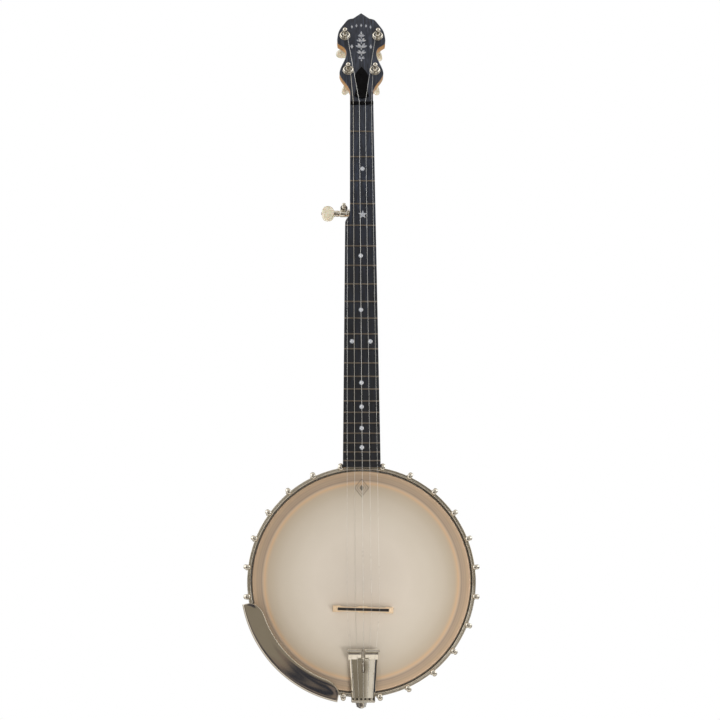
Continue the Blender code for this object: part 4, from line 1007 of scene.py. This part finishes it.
def make_planetary_pegs():
    """The peghead's pegs, each a bushing in front, a case behind, a post through both, and a button."""
    bore = 0.0032
    back = -PEGHEAD_THICKNESS - GAP
    case = ((0.0024, back), (0.0080, back), (0.0080, back - 0.0012), (0.0070, back - 0.0016),
            (0.0070, back - 0.0060), (0.0066, back - 0.0064), (0.0066, back - 0.0072),
            (0.0070, back - 0.0076), (0.0070, CASE_END + 0.0030), (0.0062, CASE_END + 0.0006),
            (0.0050, CASE_END), (0.0024, CASE_END))
    for name, x, height, turn in PEG_PLACES:
        axis = PEGHEAD @ at(x, height, 0)
        spin = axis @ Matrix.Rotation(turn, 4, "Z")
        washer = lathed(((bore, 0.0), (0.0073, 0.0), (0.0073, 0.0007), (0.0066, 0.0010), (bore, 0.0010)))
        collar = lathed(((bore, 0.0008), (0.0072, 0.0008), (0.0072, 0.0026), (0.0058, BUSHING_TOP),
                         (bore, BUSHING_TOP)), 6)
        piece(f"peg_{name}_bushing", merged(washer, collar), "nickel", place=axis,
              replaces=f"peg_{name}_housing", crisp=40)
        piece(f"peg_{name}_case", lathed(case, 56), "nickel", place=axis)
        post = post_shape(POST_TIP, WINDING_TOP + 0.003, WINDING_TOP - 0.001, POST_RADIUS, POST_WAIST, -0.01)
        piece(f"peg_{name}_string_post", post, "nickel", f"peg_{name}_post", axis, f"peg_{name}_post")
        # made where it stands, so that each button's pearl is its own
        piece(f"peg_{name}_knob", moved(button_shape(BUTTON_START), spin), "pearl", f"peg_{name}_button",
              replaces=f"peg_{name}_button")
        add_button_fittings(name, spin, CASE_END, 0.0046, 0.0046)


def make_fifth_peg():
    """A worm peg let into the side of the neck: barrel, round case with the post in it, and button."""
    barrel = ((0, 0.0060), (0.0036, 0.0060), (0.0036, 0.0162), (0.0062, 0.0162), (0.0062, 0.0174),
              (0.0042, 0.0178), (0.0042, 0.0190), (0.0046, 0.0193), (0.0046, 0.0282), (0.0042, 0.0285),
              (0.0036, 0.0300), (0.0042, 0.0312), (0.0042, 0.0338), (0.0034, -FIFTH_BARREL_END),
              (0, -FIFTH_BARREL_END))
    towards_player = Matrix.Rotation(-QUARTER, 4, "Y")  # turns +Z towards -X
    piece("peg_fifth_barrel", moved(lathed(barrel), towards_player), "nickel", place=FIFTH,
          replaces="peg_fifth_housing")
    case = ((0.0028, -0.0045), (0.0044, -0.0045), (0.0050, -0.0035), (0.0050, 0.0030), (0.0046, 0.0034),
            (0.0046, 0.0040), (0.0050, 0.0044), (0.0048, 0.0055), (0.0028, 0.0055))
    piece("peg_fifth_case", lathed(case), "nickel", place=FIFTH_POST)
    post = post_shape(FIFTH_POST_TIP, 0.0122, 0.0088, 0.0027, FIFTH_POST_WAIST, -0.0028)
    piece("peg_fifth_string_post", post, "nickel", "peg_fifth_post", FIFTH_POST, "peg_fifth_post")
    spin = FIFTH @ at(FIFTH_BARREL_END, 0, 0, QUARTER, "Y") @ Matrix.Rotation(FIFTH_BUTTON_TURN, 4, "Z")
    piece("peg_fifth_knob", button_shape(BUTTON_START - CASE_END), "pearl", "peg_fifth_button", spin,
          "peg_fifth_button")
    add_button_fittings("fifth", spin, 0, 0.0044, 0.0040)


def ink_patch(outline):
    """A film of ink, as thick as it takes to lie clear of the head."""
    return slab(outline, 0.0, 0.00006, 0.00001, 1)


def ink_frame(outline, width):
    """A flat frame of ink between an outline and the same outline moved inwards."""
    hole = slab(inset(outline, width), -0.001, 0.001, 0.00001, 1)
    return combined(ink_patch(outline), [hole], "DIFFERENCE")


def add_ring(name, profile, edge, finish, replaces=None, steps=3):
    """A ring of the pot, its profile's corners rounded by edge."""
    piece(name, lathed(profile, 240, edge, steps), finish, place=POT, replaces=replaces)


def make_pot():
    """The rim, tone ring, head with its mark, flesh hoop and grooved tension hoop."""
    add_ring("rim_wood", ((RIM_INNER, RIM_FRONT), (RING_INNER - GAP, RIM_FRONT), (RING_INNER - GAP, RIM_SEAT),
                          (RIM_OUTER, RIM_SEAT), (RIM_OUTER, RIM_BACK), (RIM_INNER, RIM_BACK)),
             0.0009, "rim", "rim")
    crown = HEAD_DEPTH + 0.0008
    seat = RIM_SEAT - GAP
    add_ring("tone_ring_metal", ((RING_INNER, crown + 0.0020), (RING_INNER + 0.0020, crown + 0.0003),
                                 (RING_OUTER - 0.0022, crown), (RING_OUTER, crown + 0.0018),
                                 (RING_OUTER, seat), (RING_INNER, seat)), 0.0006, "ring", "tone_ring")
    skirt = RIM_OUTER + GAP
    skirt_end = FLESH_FRONT + 0.0010
    add_ring("head_film_disc", ((0, HEAD_DEPTH), (RING_OUTER - 0.0010, HEAD_DEPTH),
                                (skirt + 0.0003, HEAD_DEPTH + 0.0014), (skirt + 0.0005, skirt_end),
                                (skirt, skirt_end), (skirt - 0.0001, HEAD_DEPTH + 0.0019),
                                (RING_OUTER - 0.0014, HEAD_DEPTH + 0.0005), (0, HEAD_DEPTH + 0.0005)),
             0.0012, "film", "head", 5)
    mark = merged(ink_frame(lozenge(0.0095, 0.0120), 0.0011), ink_frame(lozenge(0.0062, 0.0080), 0.0007),
                  ink_patch(lozenge(0.0030, 0.0040)))
    piece("head_mark", mark, "ink", place=FRONT @ at(0, HEAD_MARK_Z, -HEAD_DEPTH - 0.00001))
    inner = skirt + 0.0002
    add_ring("flesh_hoop", ((inner, FLESH_FRONT), (FLESH_OUTER, FLESH_FRONT), (FLESH_OUTER, FLESH_BACK),
                            (inner, FLESH_BACK)), 0.0005, "steel")
    front = HOOP_FRONT
    add_ring("tension_hoop_metal", ((HOOP_INNER, front + 0.0006), (HOOP_INNER + 0.0004, front),
                                    (GROOVE_RADIUS - GROOVE_HALF, front),
                                    (GROOVE_RADIUS - GROOVE_HALF * 0.8, front + GROOVE_DEPTH),
                                    (GROOVE_RADIUS + GROOVE_HALF * 0.8, front + GROOVE_DEPTH),
                                    (GROOVE_RADIUS + GROOVE_HALF, front), (HOOP_OUTER - 0.0003, front),
                                    (HOOP_OUTER, front + 0.0006), (HOOP_OUTER, HOOP_BACK),
                                    (HOOP_INNER, HOOP_BACK)), 0.0004, "nickel", "tension_hoop")


def hook_shape():
    """A round hook: a flattened tip in the hoop's groove, a tight crown, and a rod back to its nut."""
    middle = (HOOK_CIRCLE + GROOVE_RADIUS) / 2
    bend = (HOOK_CIRCLE - GROOVE_RADIUS) / 2
    path = [(0, -GROOVE_RADIUS, HOOP_FRONT + 0.0016), (0, -GROOVE_RADIUS, HOOP_FRONT + 0.0006)]
    radii = [0.0008, 0.0011]
    steps = 14
    for step in range(steps + 1):
        angle = math.pi * step / steps
        path.append((0, -middle + bend * math.cos(angle), HOOK_CROWN_DEPTH - bend * math.sin(angle)))
        radii.append(min(HOOK_RADIUS, 0.0013 + 0.0010 * step / 3))
    straight = HOOK_CROWN_DEPTH + 0.0040
    path += [(0, -HOOK_CIRCLE, straight), (0, -HOOK_CIRCLE, SHOE_DEPTH + 0.0150)]
    radii += [HOOK_RADIUS * 0.9, HOOK_RADIUS * 0.8]
    hook = tube(path, radii, 20)
    for corner in hook.verts:
        corner.co.x *= 1 + 0.35 * max(0.0, min((straight - corner.co.z) / 0.0040, 1.0))
    return hook


def shoe_shape():
    """A cast shoe: a square foot on the rim that draws in to the round eye the hook runs through."""
    rings = []
    for radius, wide, high, square in smooth_curve(SHOE_SECTIONS, 3):
        rings.append([(x, -radius, SHOE_DEPTH + z) for x, z in oval(wide, high, square, 36)])
    return lofted(rings)


def make_brackets():
    """Twenty-four brackets, each a hook, its shoe and nut, and the bolt that holds the shoe to the rim."""
    cap = lathed(((0, 0.0648), (0.0031, 0.0648), (0.0029, 0.0664), (0.0016, 0.0678), (0, 0.0680)), 28)
    nut = moved(merged(hexagon(0.0034, SHOE_DEPTH + 0.0054, 0.0652), cap), at(0, -HOOK_CIRCLE, 0))
    bolt = merged(lathed(band(-0.0002, 0.0008, 0.0058), 36), hexagon(0.0046, 0.0006, 0.0038))
    meshes = {
        "hook": as_mesh("hook", hook_shape(), 60),
        "shoe": as_mesh("shoe", shoe_shape(), 60),
        "bracket_nut": as_mesh("bracket_nut", nut, 32),
        "shoe_bolt": as_mesh("shoe_bolt", moved(bolt, at(0, -RIM_INNER, SHOE_DEPTH, -QUARTER)), 32),
    }
    one_side = [FIRST_BRACKET + BRACKET_STEP * number for number in range(BRACKETS_PER_SIDE)]
    for number, angle in enumerate(one_side + [-angle for angle in reversed(one_side)], start=1):
        for name, mesh in meshes.items():
            add_piece(f"{name}_{number:02d}", mesh, "nickel", place=POT @ Matrix.Rotation(angle, 4, "Z"),
                      replaces=f"bracket_{number:02d}" if name == "hook" else None)


def make_rod():
    """The coordinator rod across the pot, with a nut and washer at each end and its bolt at the tail."""
    top = POT_Z + RIM_INNER - 0.0005
    foot = POT_Z - RIM_INNER + 0.0005
    place = at(0, ROD_DEPTH, 0)
    rod = ((0, top - 0.0010), (0.0030, top - 0.0010), (0.0030, top - 0.0060), (ROD_RADIUS, top - 0.0068),
           (ROD_RADIUS, foot + 0.0068), (0.0030, foot + 0.0060), (0.0030, foot), (0, foot))
    piece("coordinator_rod_bar", lathed(rod, 40, 0.0006), "steel", place=place, replaces="coordinator_rod")
    for name, start, side in (("top", top, -1), ("foot", foot, 1)):
        washer = lathed(band(start, start + side * 0.0011, 0.0075), 40)
        nut = hexagon(0.0065, *sorted((start + side * 0.0010, start + side * 0.0060)))
        piece(f"rod_nut_{name}", merged(washer, nut), "steel", place=place)
    outer = POT_Z - RIM_OUTER - 0.0020 - 2 * GAP
    piece("rod_tail_bolt", hexagon(0.0055, outer - 0.0040, outer), "steel", place=place)


def plate_section(half, z):
    """Across the tailpiece's plate: a flat middle and a bevel down each side."""
    bevel = 0.0028
    drop = 0.0022
    thick = 0.0012
    front = PLATE_FRONT
    outer = [(-half, front + drop), (-half + bevel, front), (half - bevel, front), (half, front + drop)]
    inner = [(half - 0.0004, front + drop + thick * 0.6), (half - bevel, front + thick),
             (-half + bevel, front + thick), (-half + 0.0004, front + drop + thick * 0.6)]
    return [(STRING_BAND_OFFSET + p.x, p.y, z) for p in rounded(outer + inner, 0.0003, 2)]


def make_plate():
    """The tailpiece's tapering plate with six string holes, and a long opening that shows its tongue."""
    middle = STRING_BAND_OFFSET
    rings = []
    steps = 12
    for step in range(steps + 1):
        share = step / steps
        half = PLATE_TOP_HALF + (PLATE_FOOT_HALF - PLATE_TOP_HALF) * share
        rings.append(plate_section(half, PLATE_TOP + (PLATE_FOOT + 0.0022 - PLATE_TOP) * share))
    holes = []
    for index in range(6):
        place = at(middle + TAIL_SPACING * (index - 2.5), 0.0060, PLATE_FOOT + 0.0044, QUARTER)
        holes.append(moved(turned(band(0, 0.006, 0.0012), 16), place))
    place = FRONT @ at(middle, PLATE_TOP - 0.0105, 0)
    opening = moved(slab(oval(0.0026, 0.0070, 3.0, 40), -0.008, 0.002, 0.0001, 1), place)
    plate = combined(lofted(rings), [*holes, opening], "DIFFERENCE")
    piece("tailpiece_plate", plate, "plate", replaces="tailpiece")
    tongue = slab(oval(0.0012, 0.0062, 2.6), -PLATE_FRONT - 0.0010, -PLATE_FRONT + 0.0002, 0.0004)
    piece("tailpiece_tongue", moved(tongue, place), "nickel")


def make_tailpiece_top():
    """The bar in two halves, and under each half a cheek: a sheet that curls forward to it from the plate."""
    middle = STRING_BAND_OFFSET
    curl = smooth_curve(((PLATE_FRONT + 0.0002, PLATE_TOP - 0.0010), (0.0024, -0.7300), (0.0006, -0.7276),
                         (-0.0010, -0.7252), (-0.0018, -0.7234), (-0.0018, BAR_Z - 0.0012)), 4)
    section = [(p.x, p.y) for p in curl] + [(p.x + 0.0009, p.y) for p in reversed(curl)]
    for name, side in (("left", -1), ("right", 1)):
        reaches = (0.0022, 0.0026, BAR_HALF_WIDTH - 0.0004, BAR_HALF_WIDTH)
        path = [(middle + side * reach, -0.0024, BAR_Z) for reach in reaches]
        bar = tube(path, (0.0014, 0.0018, 0.0018, 0.0014), 24)
        piece(f"tailpiece_bar_{name}", bar, "nickel")
        wide = sorted((middle + side * 0.0026, middle + side * (PLATE_TOP_HALF + 0.0006)))
        piece(f"tailpiece_cheek_{name}", lofted([[(x, *point) for point in section] for x in wide]), "nickel",
              crisp=50)
    tab = box((middle - 0.0068, 0.0012, PLATE_TOP - 0.0020),
              (middle + 0.0068, 0.0032, PLATE_TOP + 0.0006), 0.0005)
    piece("tailpiece_tab", tab, "nickel")
    stem = [(middle, 0.0014, PLATE_TOP), (middle, -0.0010, -0.7262), (middle, -0.0020, BAR_Z + 0.0016)]
    piece("tailpiece_stem", tube(stem, [0.0013, 0.0013, 0.0011], 20), "nickel")


def make_tailpiece_foot():
    """The plate's foot, the hook behind it, a black strip of painted shade behind the string holes, and the
    hanger with its thumb nut.
    """
    middle = STRING_BAND_OFFSET
    foot = box((middle - PLATE_FOOT_HALF, -0.0002, PLATE_FOOT),
               (middle + PLATE_FOOT_HALF, 0.0046, PLATE_FOOT + 0.0026), 0.00125)
    piece("tailpiece_foot", foot, "nickel")
    # a black strip behind the string holes: painted shade, standing in for the shade inside them
    shade_backing = box((middle - 0.0150, 0.0049, PLATE_FOOT + 0.0003),
              (middle + 0.0150, 0.0060, PLATE_FOOT + 0.0085), 0.0004)
    piece("tailpiece_shade_backing", shade_backing, "black")
    arm = box((-0.0075, 0.0036, PLATE_FOOT + 0.0001), (0.0075, 0.0140, PLATE_FOOT + 0.0018), 0.0004)
    low = HANGER_Z - 0.0034
    high = PLATE_FOOT + 0.0016
    lug = slab(rounded(((-0.0034, low), (0.0034, low), (0.0034, high), (-0.0034, high)), 0.0016, 5),
               -0.0140, -0.0112, 0.0005)
    bolt = moved(lathed(band(0, 0.0330, 0.0020), 24, 0.0004), at(0, 0.0130, HANGER_Z, -QUARTER))
    piece("tailpiece_hook", merged(arm, moved(lug, FRONT), bolt), "nickel")
    foot_z = POT_Z - RIM_OUTER - GAP
    shelf_back = HANGER_ARM_DEPTH + 0.0024
    strap = box((-0.0080, HANGER_ARM_DEPTH, foot_z - 0.0020), (0.0080, ROD_DEPTH + 0.0090, foot_z), 0.0005)
    shelf = box((-0.0060, HANGER_ARM_DEPTH, HANGER_Z - 0.0050), (0.0060, shelf_back, foot_z - 0.0002), 0.0005)
    piece("tailpiece_hanger_strap", merged(strap, shelf), "steel", replaces="tailpiece_hanger")
    corners = 4 * THUMB_NUT_RIDGES
    outline = []
    for index in range(corners):
        angle = TURN * index / corners
        reach = THUMB_NUT_RADIUS - 0.0004 * (index % 4 in (2, 3))
        outline.append((reach * math.cos(angle), reach * math.sin(angle)))
    boss = lathed(band(-0.0002, 0.0064, 0.0050, 0.0022), 36)
    piece("thumb_wheel", merged(slab(outline, 0.0, 0.0060, 0.0006, 2), boss), "nickel", "tailpiece_thumb_nut",
          at(0, shelf_back + GAP, HANGER_Z, -QUARTER), "tailpiece_thumb_nut")


def armrest_ring(curve, angle):
    """The armrest's section at an angle round the pot. At each end it rolls over and its corner is round."""
    from_end = min(angle - ARMREST_START, ARMREST_END - angle)
    corner = round_over(from_end / ARMREST_CORNER) * ARMREST_CORNER_WIDTH / (ARMREST_CREST - curve[0].x)
    roll = round_over(from_end / ARMREST_ROLL) * ARMREST_ROLL_DROP
    front = []
    for point in curve:
        drawn_in = max(ARMREST_CREST - point.x, 0.0) * corner
        sinking = roll * min((ARMREST_SECTION[-1][1] - point.y) / ARMREST_ROLL_DEPTH, 1.0)
        front.append(Vector((point.x + drawn_in, point.y + sinking)))
    back = []
    for index, point in enumerate(front):
        ahead = front[min(index + 1, len(front) - 1)] - front[max(index - 1, 0)]
        back.append(point + Vector((-ahead.y, ahead.x)).normalized() * ARMREST_THICKNESS)
    return [(-p.x * math.sin(angle), p.x * math.cos(angle), p.y) for p in (*front, *reversed(back))]


def make_armrest():
    """The armrest, its sections closer together towards its ends, and the clamp that holds it."""
    curve = [*smooth_curve(ARMREST_SECTION, 5), Vector(ARMREST_SECTION[-1])]
    steps = 120
    shares = [(1 - math.cos(math.pi * step / steps)) / 2 for step in range(steps + 1)]
    rings = [armrest_ring(curve, ARMREST_START + (ARMREST_END - ARMREST_START) * share) for share in shares]
    piece("armrest_plate", lofted(rings), "polished", place=POT, replaces="armrest", crisp=50)
    place = POT @ Matrix.Rotation(ARMREST_CLAMP, 4, "Z")
    leg = box((-0.0045, HOOP_OUTER + 0.0008, -0.0004), (0.0045, CLAMP_OUTER, FLESH_BACK + 0.0058), 0.0008)
    toe = box((-0.0043, RIM_OUTER + 2 * GAP, FLESH_BACK + 0.0006),
              (0.0043, 0.1500, FLESH_BACK + 0.0056), 0.0006)
    piece("armrest_clamp", merged(leg, toe), "nickel", place=place)
    screw = moved(screw_shape(0.0026, 0.0014), at(0, CLAMP_OUTER, 0.0140, -QUARTER))
    piece("armrest_screw", screw, "nickel", place=place)


def bridge_slice(outline):
    """A part of the bridge given by its outline, thinner towards the bridge's top."""
    rings = []
    for side in (-0.5, 0.5):
        ring = []
        for x, height in outline:
            taper = (BRIDGE_TOP_THICKNESS - BRIDGE_FOOT_THICKNESS) * height / BRIDGE_HEIGHT
            ring.append((x, -height, side * (BRIDGE_FOOT_THICKNESS + taper)))
        rings.append(ring)
    return lofted(rings)


def make_bridge():
    """A three-footed maple bridge with an ebony strip along its top, notched for the strings."""
    place = at(STRING_BAND_OFFSET, HEAD_DEPTH - GAP, BRIDGE_Z, BRIDGE_SLANT, "Y")
    shoulder = BRIDGE_HEIGHT - EBONY_HEIGHT
    right = [(BRIDGE_FOOT_HALF, 0.0), (BRIDGE_FOOT_HALF, 0.0026), (BRIDGE_FOOT_HALF - 0.0012, 0.0060),
             (BRIDGE_TOP_HALF + 0.0012, shoulder - 0.0030), (BRIDGE_TOP_HALF, shoulder)]
    outline = right + [(-x, height) for x, height in reversed(right)]
    for start, end in ((-BRIDGE_ARCH_OUTER, -BRIDGE_ARCH_INNER), (BRIDGE_ARCH_INNER, BRIDGE_ARCH_OUTER)):
        for step in range(17):
            angle = math.pi * step / 16
            outline.append(((start + end) / 2 - (end - start) / 2 * math.cos(angle),
                            BRIDGE_ARCH_HEIGHT * math.sin(angle) ** 0.55))
    piece("bridge_wood", bridge_slice(outline), "bridge", place=place, replaces="bridge", crisp=40)
    half = BRIDGE_TOP_HALF - 0.0004
    corner = 0.0006
    side = [(half, shoulder), (half, BRIDGE_HEIGHT - corner), (half - corner, BRIDGE_HEIGHT)]
    strip = bridge_slice(side + [(-x, height) for x, height in reversed(side)])
    notches = []
    for number in range(5):
        x = string_x(number, BRIDGE_Z) - STRING_BAND_OFFSET
        notches.append(cutter((x - 0.00035, -BRIDGE_HEIGHT - 0.001, -0.004),
                              (x + 0.00035, -BRIDGE_HEIGHT + 0.0004, 0.004)))
    piece("bridge_ebony", combined(strip, notches, "DIFFERENCE"), "ebony", place=place)


# ---------------------------------------------------------------- stage

def make_floor():
    floor = linked("floor", as_mesh("floor", turned(band(-0.004, 0, FLOOR_RADIUS), 128)))
    floor.location.z = FLOOR_Z
    floor.visible_glossy = False
    floor.data.materials.append(grained("stage_paint", STAGE_PAINT, 3, 2, roughness=0.9))


def make_camera():
    """Just below the middle of the pot and looking up a little, as the photograph was taken."""
    target = Vector((-0.00235, 0, -0.3482))
    azimuth = math.radians(-1.4)
    elevation = math.radians(-9.5)
    distance = 1.852
    back = Vector((math.sin(azimuth) * math.cos(elevation), -math.cos(azimuth) * math.cos(elevation),
                   math.sin(elevation)))
    camera = linked("camera", bpy.data.cameras.new("camera"))
    camera.data.lens = 71
    camera.data.sensor_width = 36
    camera.location = target + back * distance
    camera.rotation_euler = back.to_track_quat("Z", "Y").to_euler()
    bpy.context.scene.camera = camera


def make_lights():
    """Soft white panels, each (name, place, aim, width, height, watts)."""
    panels = (
        ("key", (0.46, -0.75, -0.88), (0.03, 0, -0.70), 0.35, 0.25, 3.5),
        ("fill", (-1.9, -1.7, 0.1), (0, 0, -0.4), 1.0, 1.4, 8),
        ("top", (0.0, -0.6, 1.7), (0, 0, -0.3), 1.8, 1.2, 12),
        ("back_left", (-1.5, 2.0, 0.5), (0, 0, -0.4), 1.2, 1.6, 26),
        ("back_right", (1.6, 1.9, 0.2), (0, 0, -0.4), 1.2, 1.6, 24),
    )
    for name, place, aim, width, height, watts in panels:
        light = linked(name, bpy.data.lights.new(name, "AREA"))
        light.data.shape = "RECTANGLE"
        light.data.size = width
        light.data.size_y = height
        light.data.energy = watts
        light.visible_glossy = False
        light.visible_camera = False
        light.location = place
        light.rotation_euler = (Vector(place) - Vector(aim)).to_track_quat("Z", "Y").to_euler()


def make_world():
    """White behind the object, and a room of light and dark parts for the metal to reflect."""
    world = bpy.data.worlds.new("studio")
    world.use_nodes = True
    bpy.context.scene.world = world
    world.node_tree.nodes.clear()
    sky = Nodes(world.node_tree)
    across, out, up = sky.parts(sky.place(source="Generated"))
    # the room as rings round the playing side's direction, from straight out of it to straight behind
    room = sky.ramp(sky.spread(out, 0.0, 1.0, -1.0, 1.0), (0.0, (0.305, 0.274, 0.221)),
                    (0.08, (0.305, 0.274, 0.221)), (0.14, (0.030, 0.030, 0.036)),
                    (0.20, (0.060, 0.060, 0.065)), (0.27, (1.25, 1.18, 1.10)), (0.50, (1.15, 1.10, 1.03)),
                    (0.60, (0.35, 0.33, 0.30)), (0.75, (0.70, 0.67, 0.62)), (1.0, (0.50, 0.48, 0.45)))
    front = sky.spread(out, 1.0, 0.0, -0.90, -0.75)
    below = sky.spread(up, 0.0, 1.0, -0.104, -0.124)
    above = sky.spread(up, 0.0, 1.0, 0.20, 0.34)
    # a dark corner at the right
    level = sky.spread(sky.maths("ABSOLUTE", up), 1.0, 0.0, 0.25, 0.40)
    room = sky.mix(sky.times(sky.spread(across, 0.0, 1.0, 0.80, 0.88), level), room, (0.050, 0.055, 0.072))
    # the dark part of the room, with a few warm and cool things in it
    things = sky.noise(7, 3, vector=sky.place((1, 1, 3), "Generated"))
    furniture = sky.ramp(things, (0.38, (0.040, 0.044, 0.060)), (0.47, (0.120, 0.112, 0.112)),
                         (0.55, (0.270, 0.215, 0.180)), (0.64, (0.090, 0.110, 0.170)))
    room = sky.mix(sky.times(below, front), room, furniture)
    # bright above that
    room = sky.mix(sky.times(above, front), room, (1.2, 1.2, 1.2))
    # a pale wall low on the right, for the lower part of the hoop
    low_right = sky.times(sky.spread(across, 0.0, 1.0, 0.07, 0.10), sky.spread(up, 1.0, 0.0, -0.02, 0.01))
    room = sky.mix(sky.times(low_right, front), room, (1.0, 0.96, 0.90))
    # bright windows high at both sides, for the strings to catch
    sideways = sky.spread(sky.maths("ABSOLUTE", across), 0.0, 1.0, 0.62, 0.70)
    window = sky.times(sideways, sky.spread(up, 0.0, 1.0, 0.04, 0.07))
    path = sky.add("LightPath").outputs
    room = sky.mix(sky.times(window, path["Is Glossy Ray"]), room, (2.0, 2.0, 2.0))
    reflected = sky.add("Background", {"Color": room}).outputs[0]
    white = sky.add("Background", {"Color": (1, 1, 1, 1)}).outputs[0]
    chosen = sky.add("MixShader", {0: path["Is Camera Ray"], 1: reflected, 2: white}).outputs[0]
    sky.add("OutputWorld", {"Surface": chosen})
    bpy.context.scene.view_settings.view_transform = "Standard"


make_neck()
make_fingerboard()
make_peghead()
make_nuts()
make_planetary_pegs()
make_fifth_peg()
make_strings()
make_pot()
make_brackets()
make_rod()
make_plate()
make_tailpiece_top()
make_tailpiece_foot()
make_armrest()
make_bridge()
make_floor()
make_camera()
make_lights()
make_world()
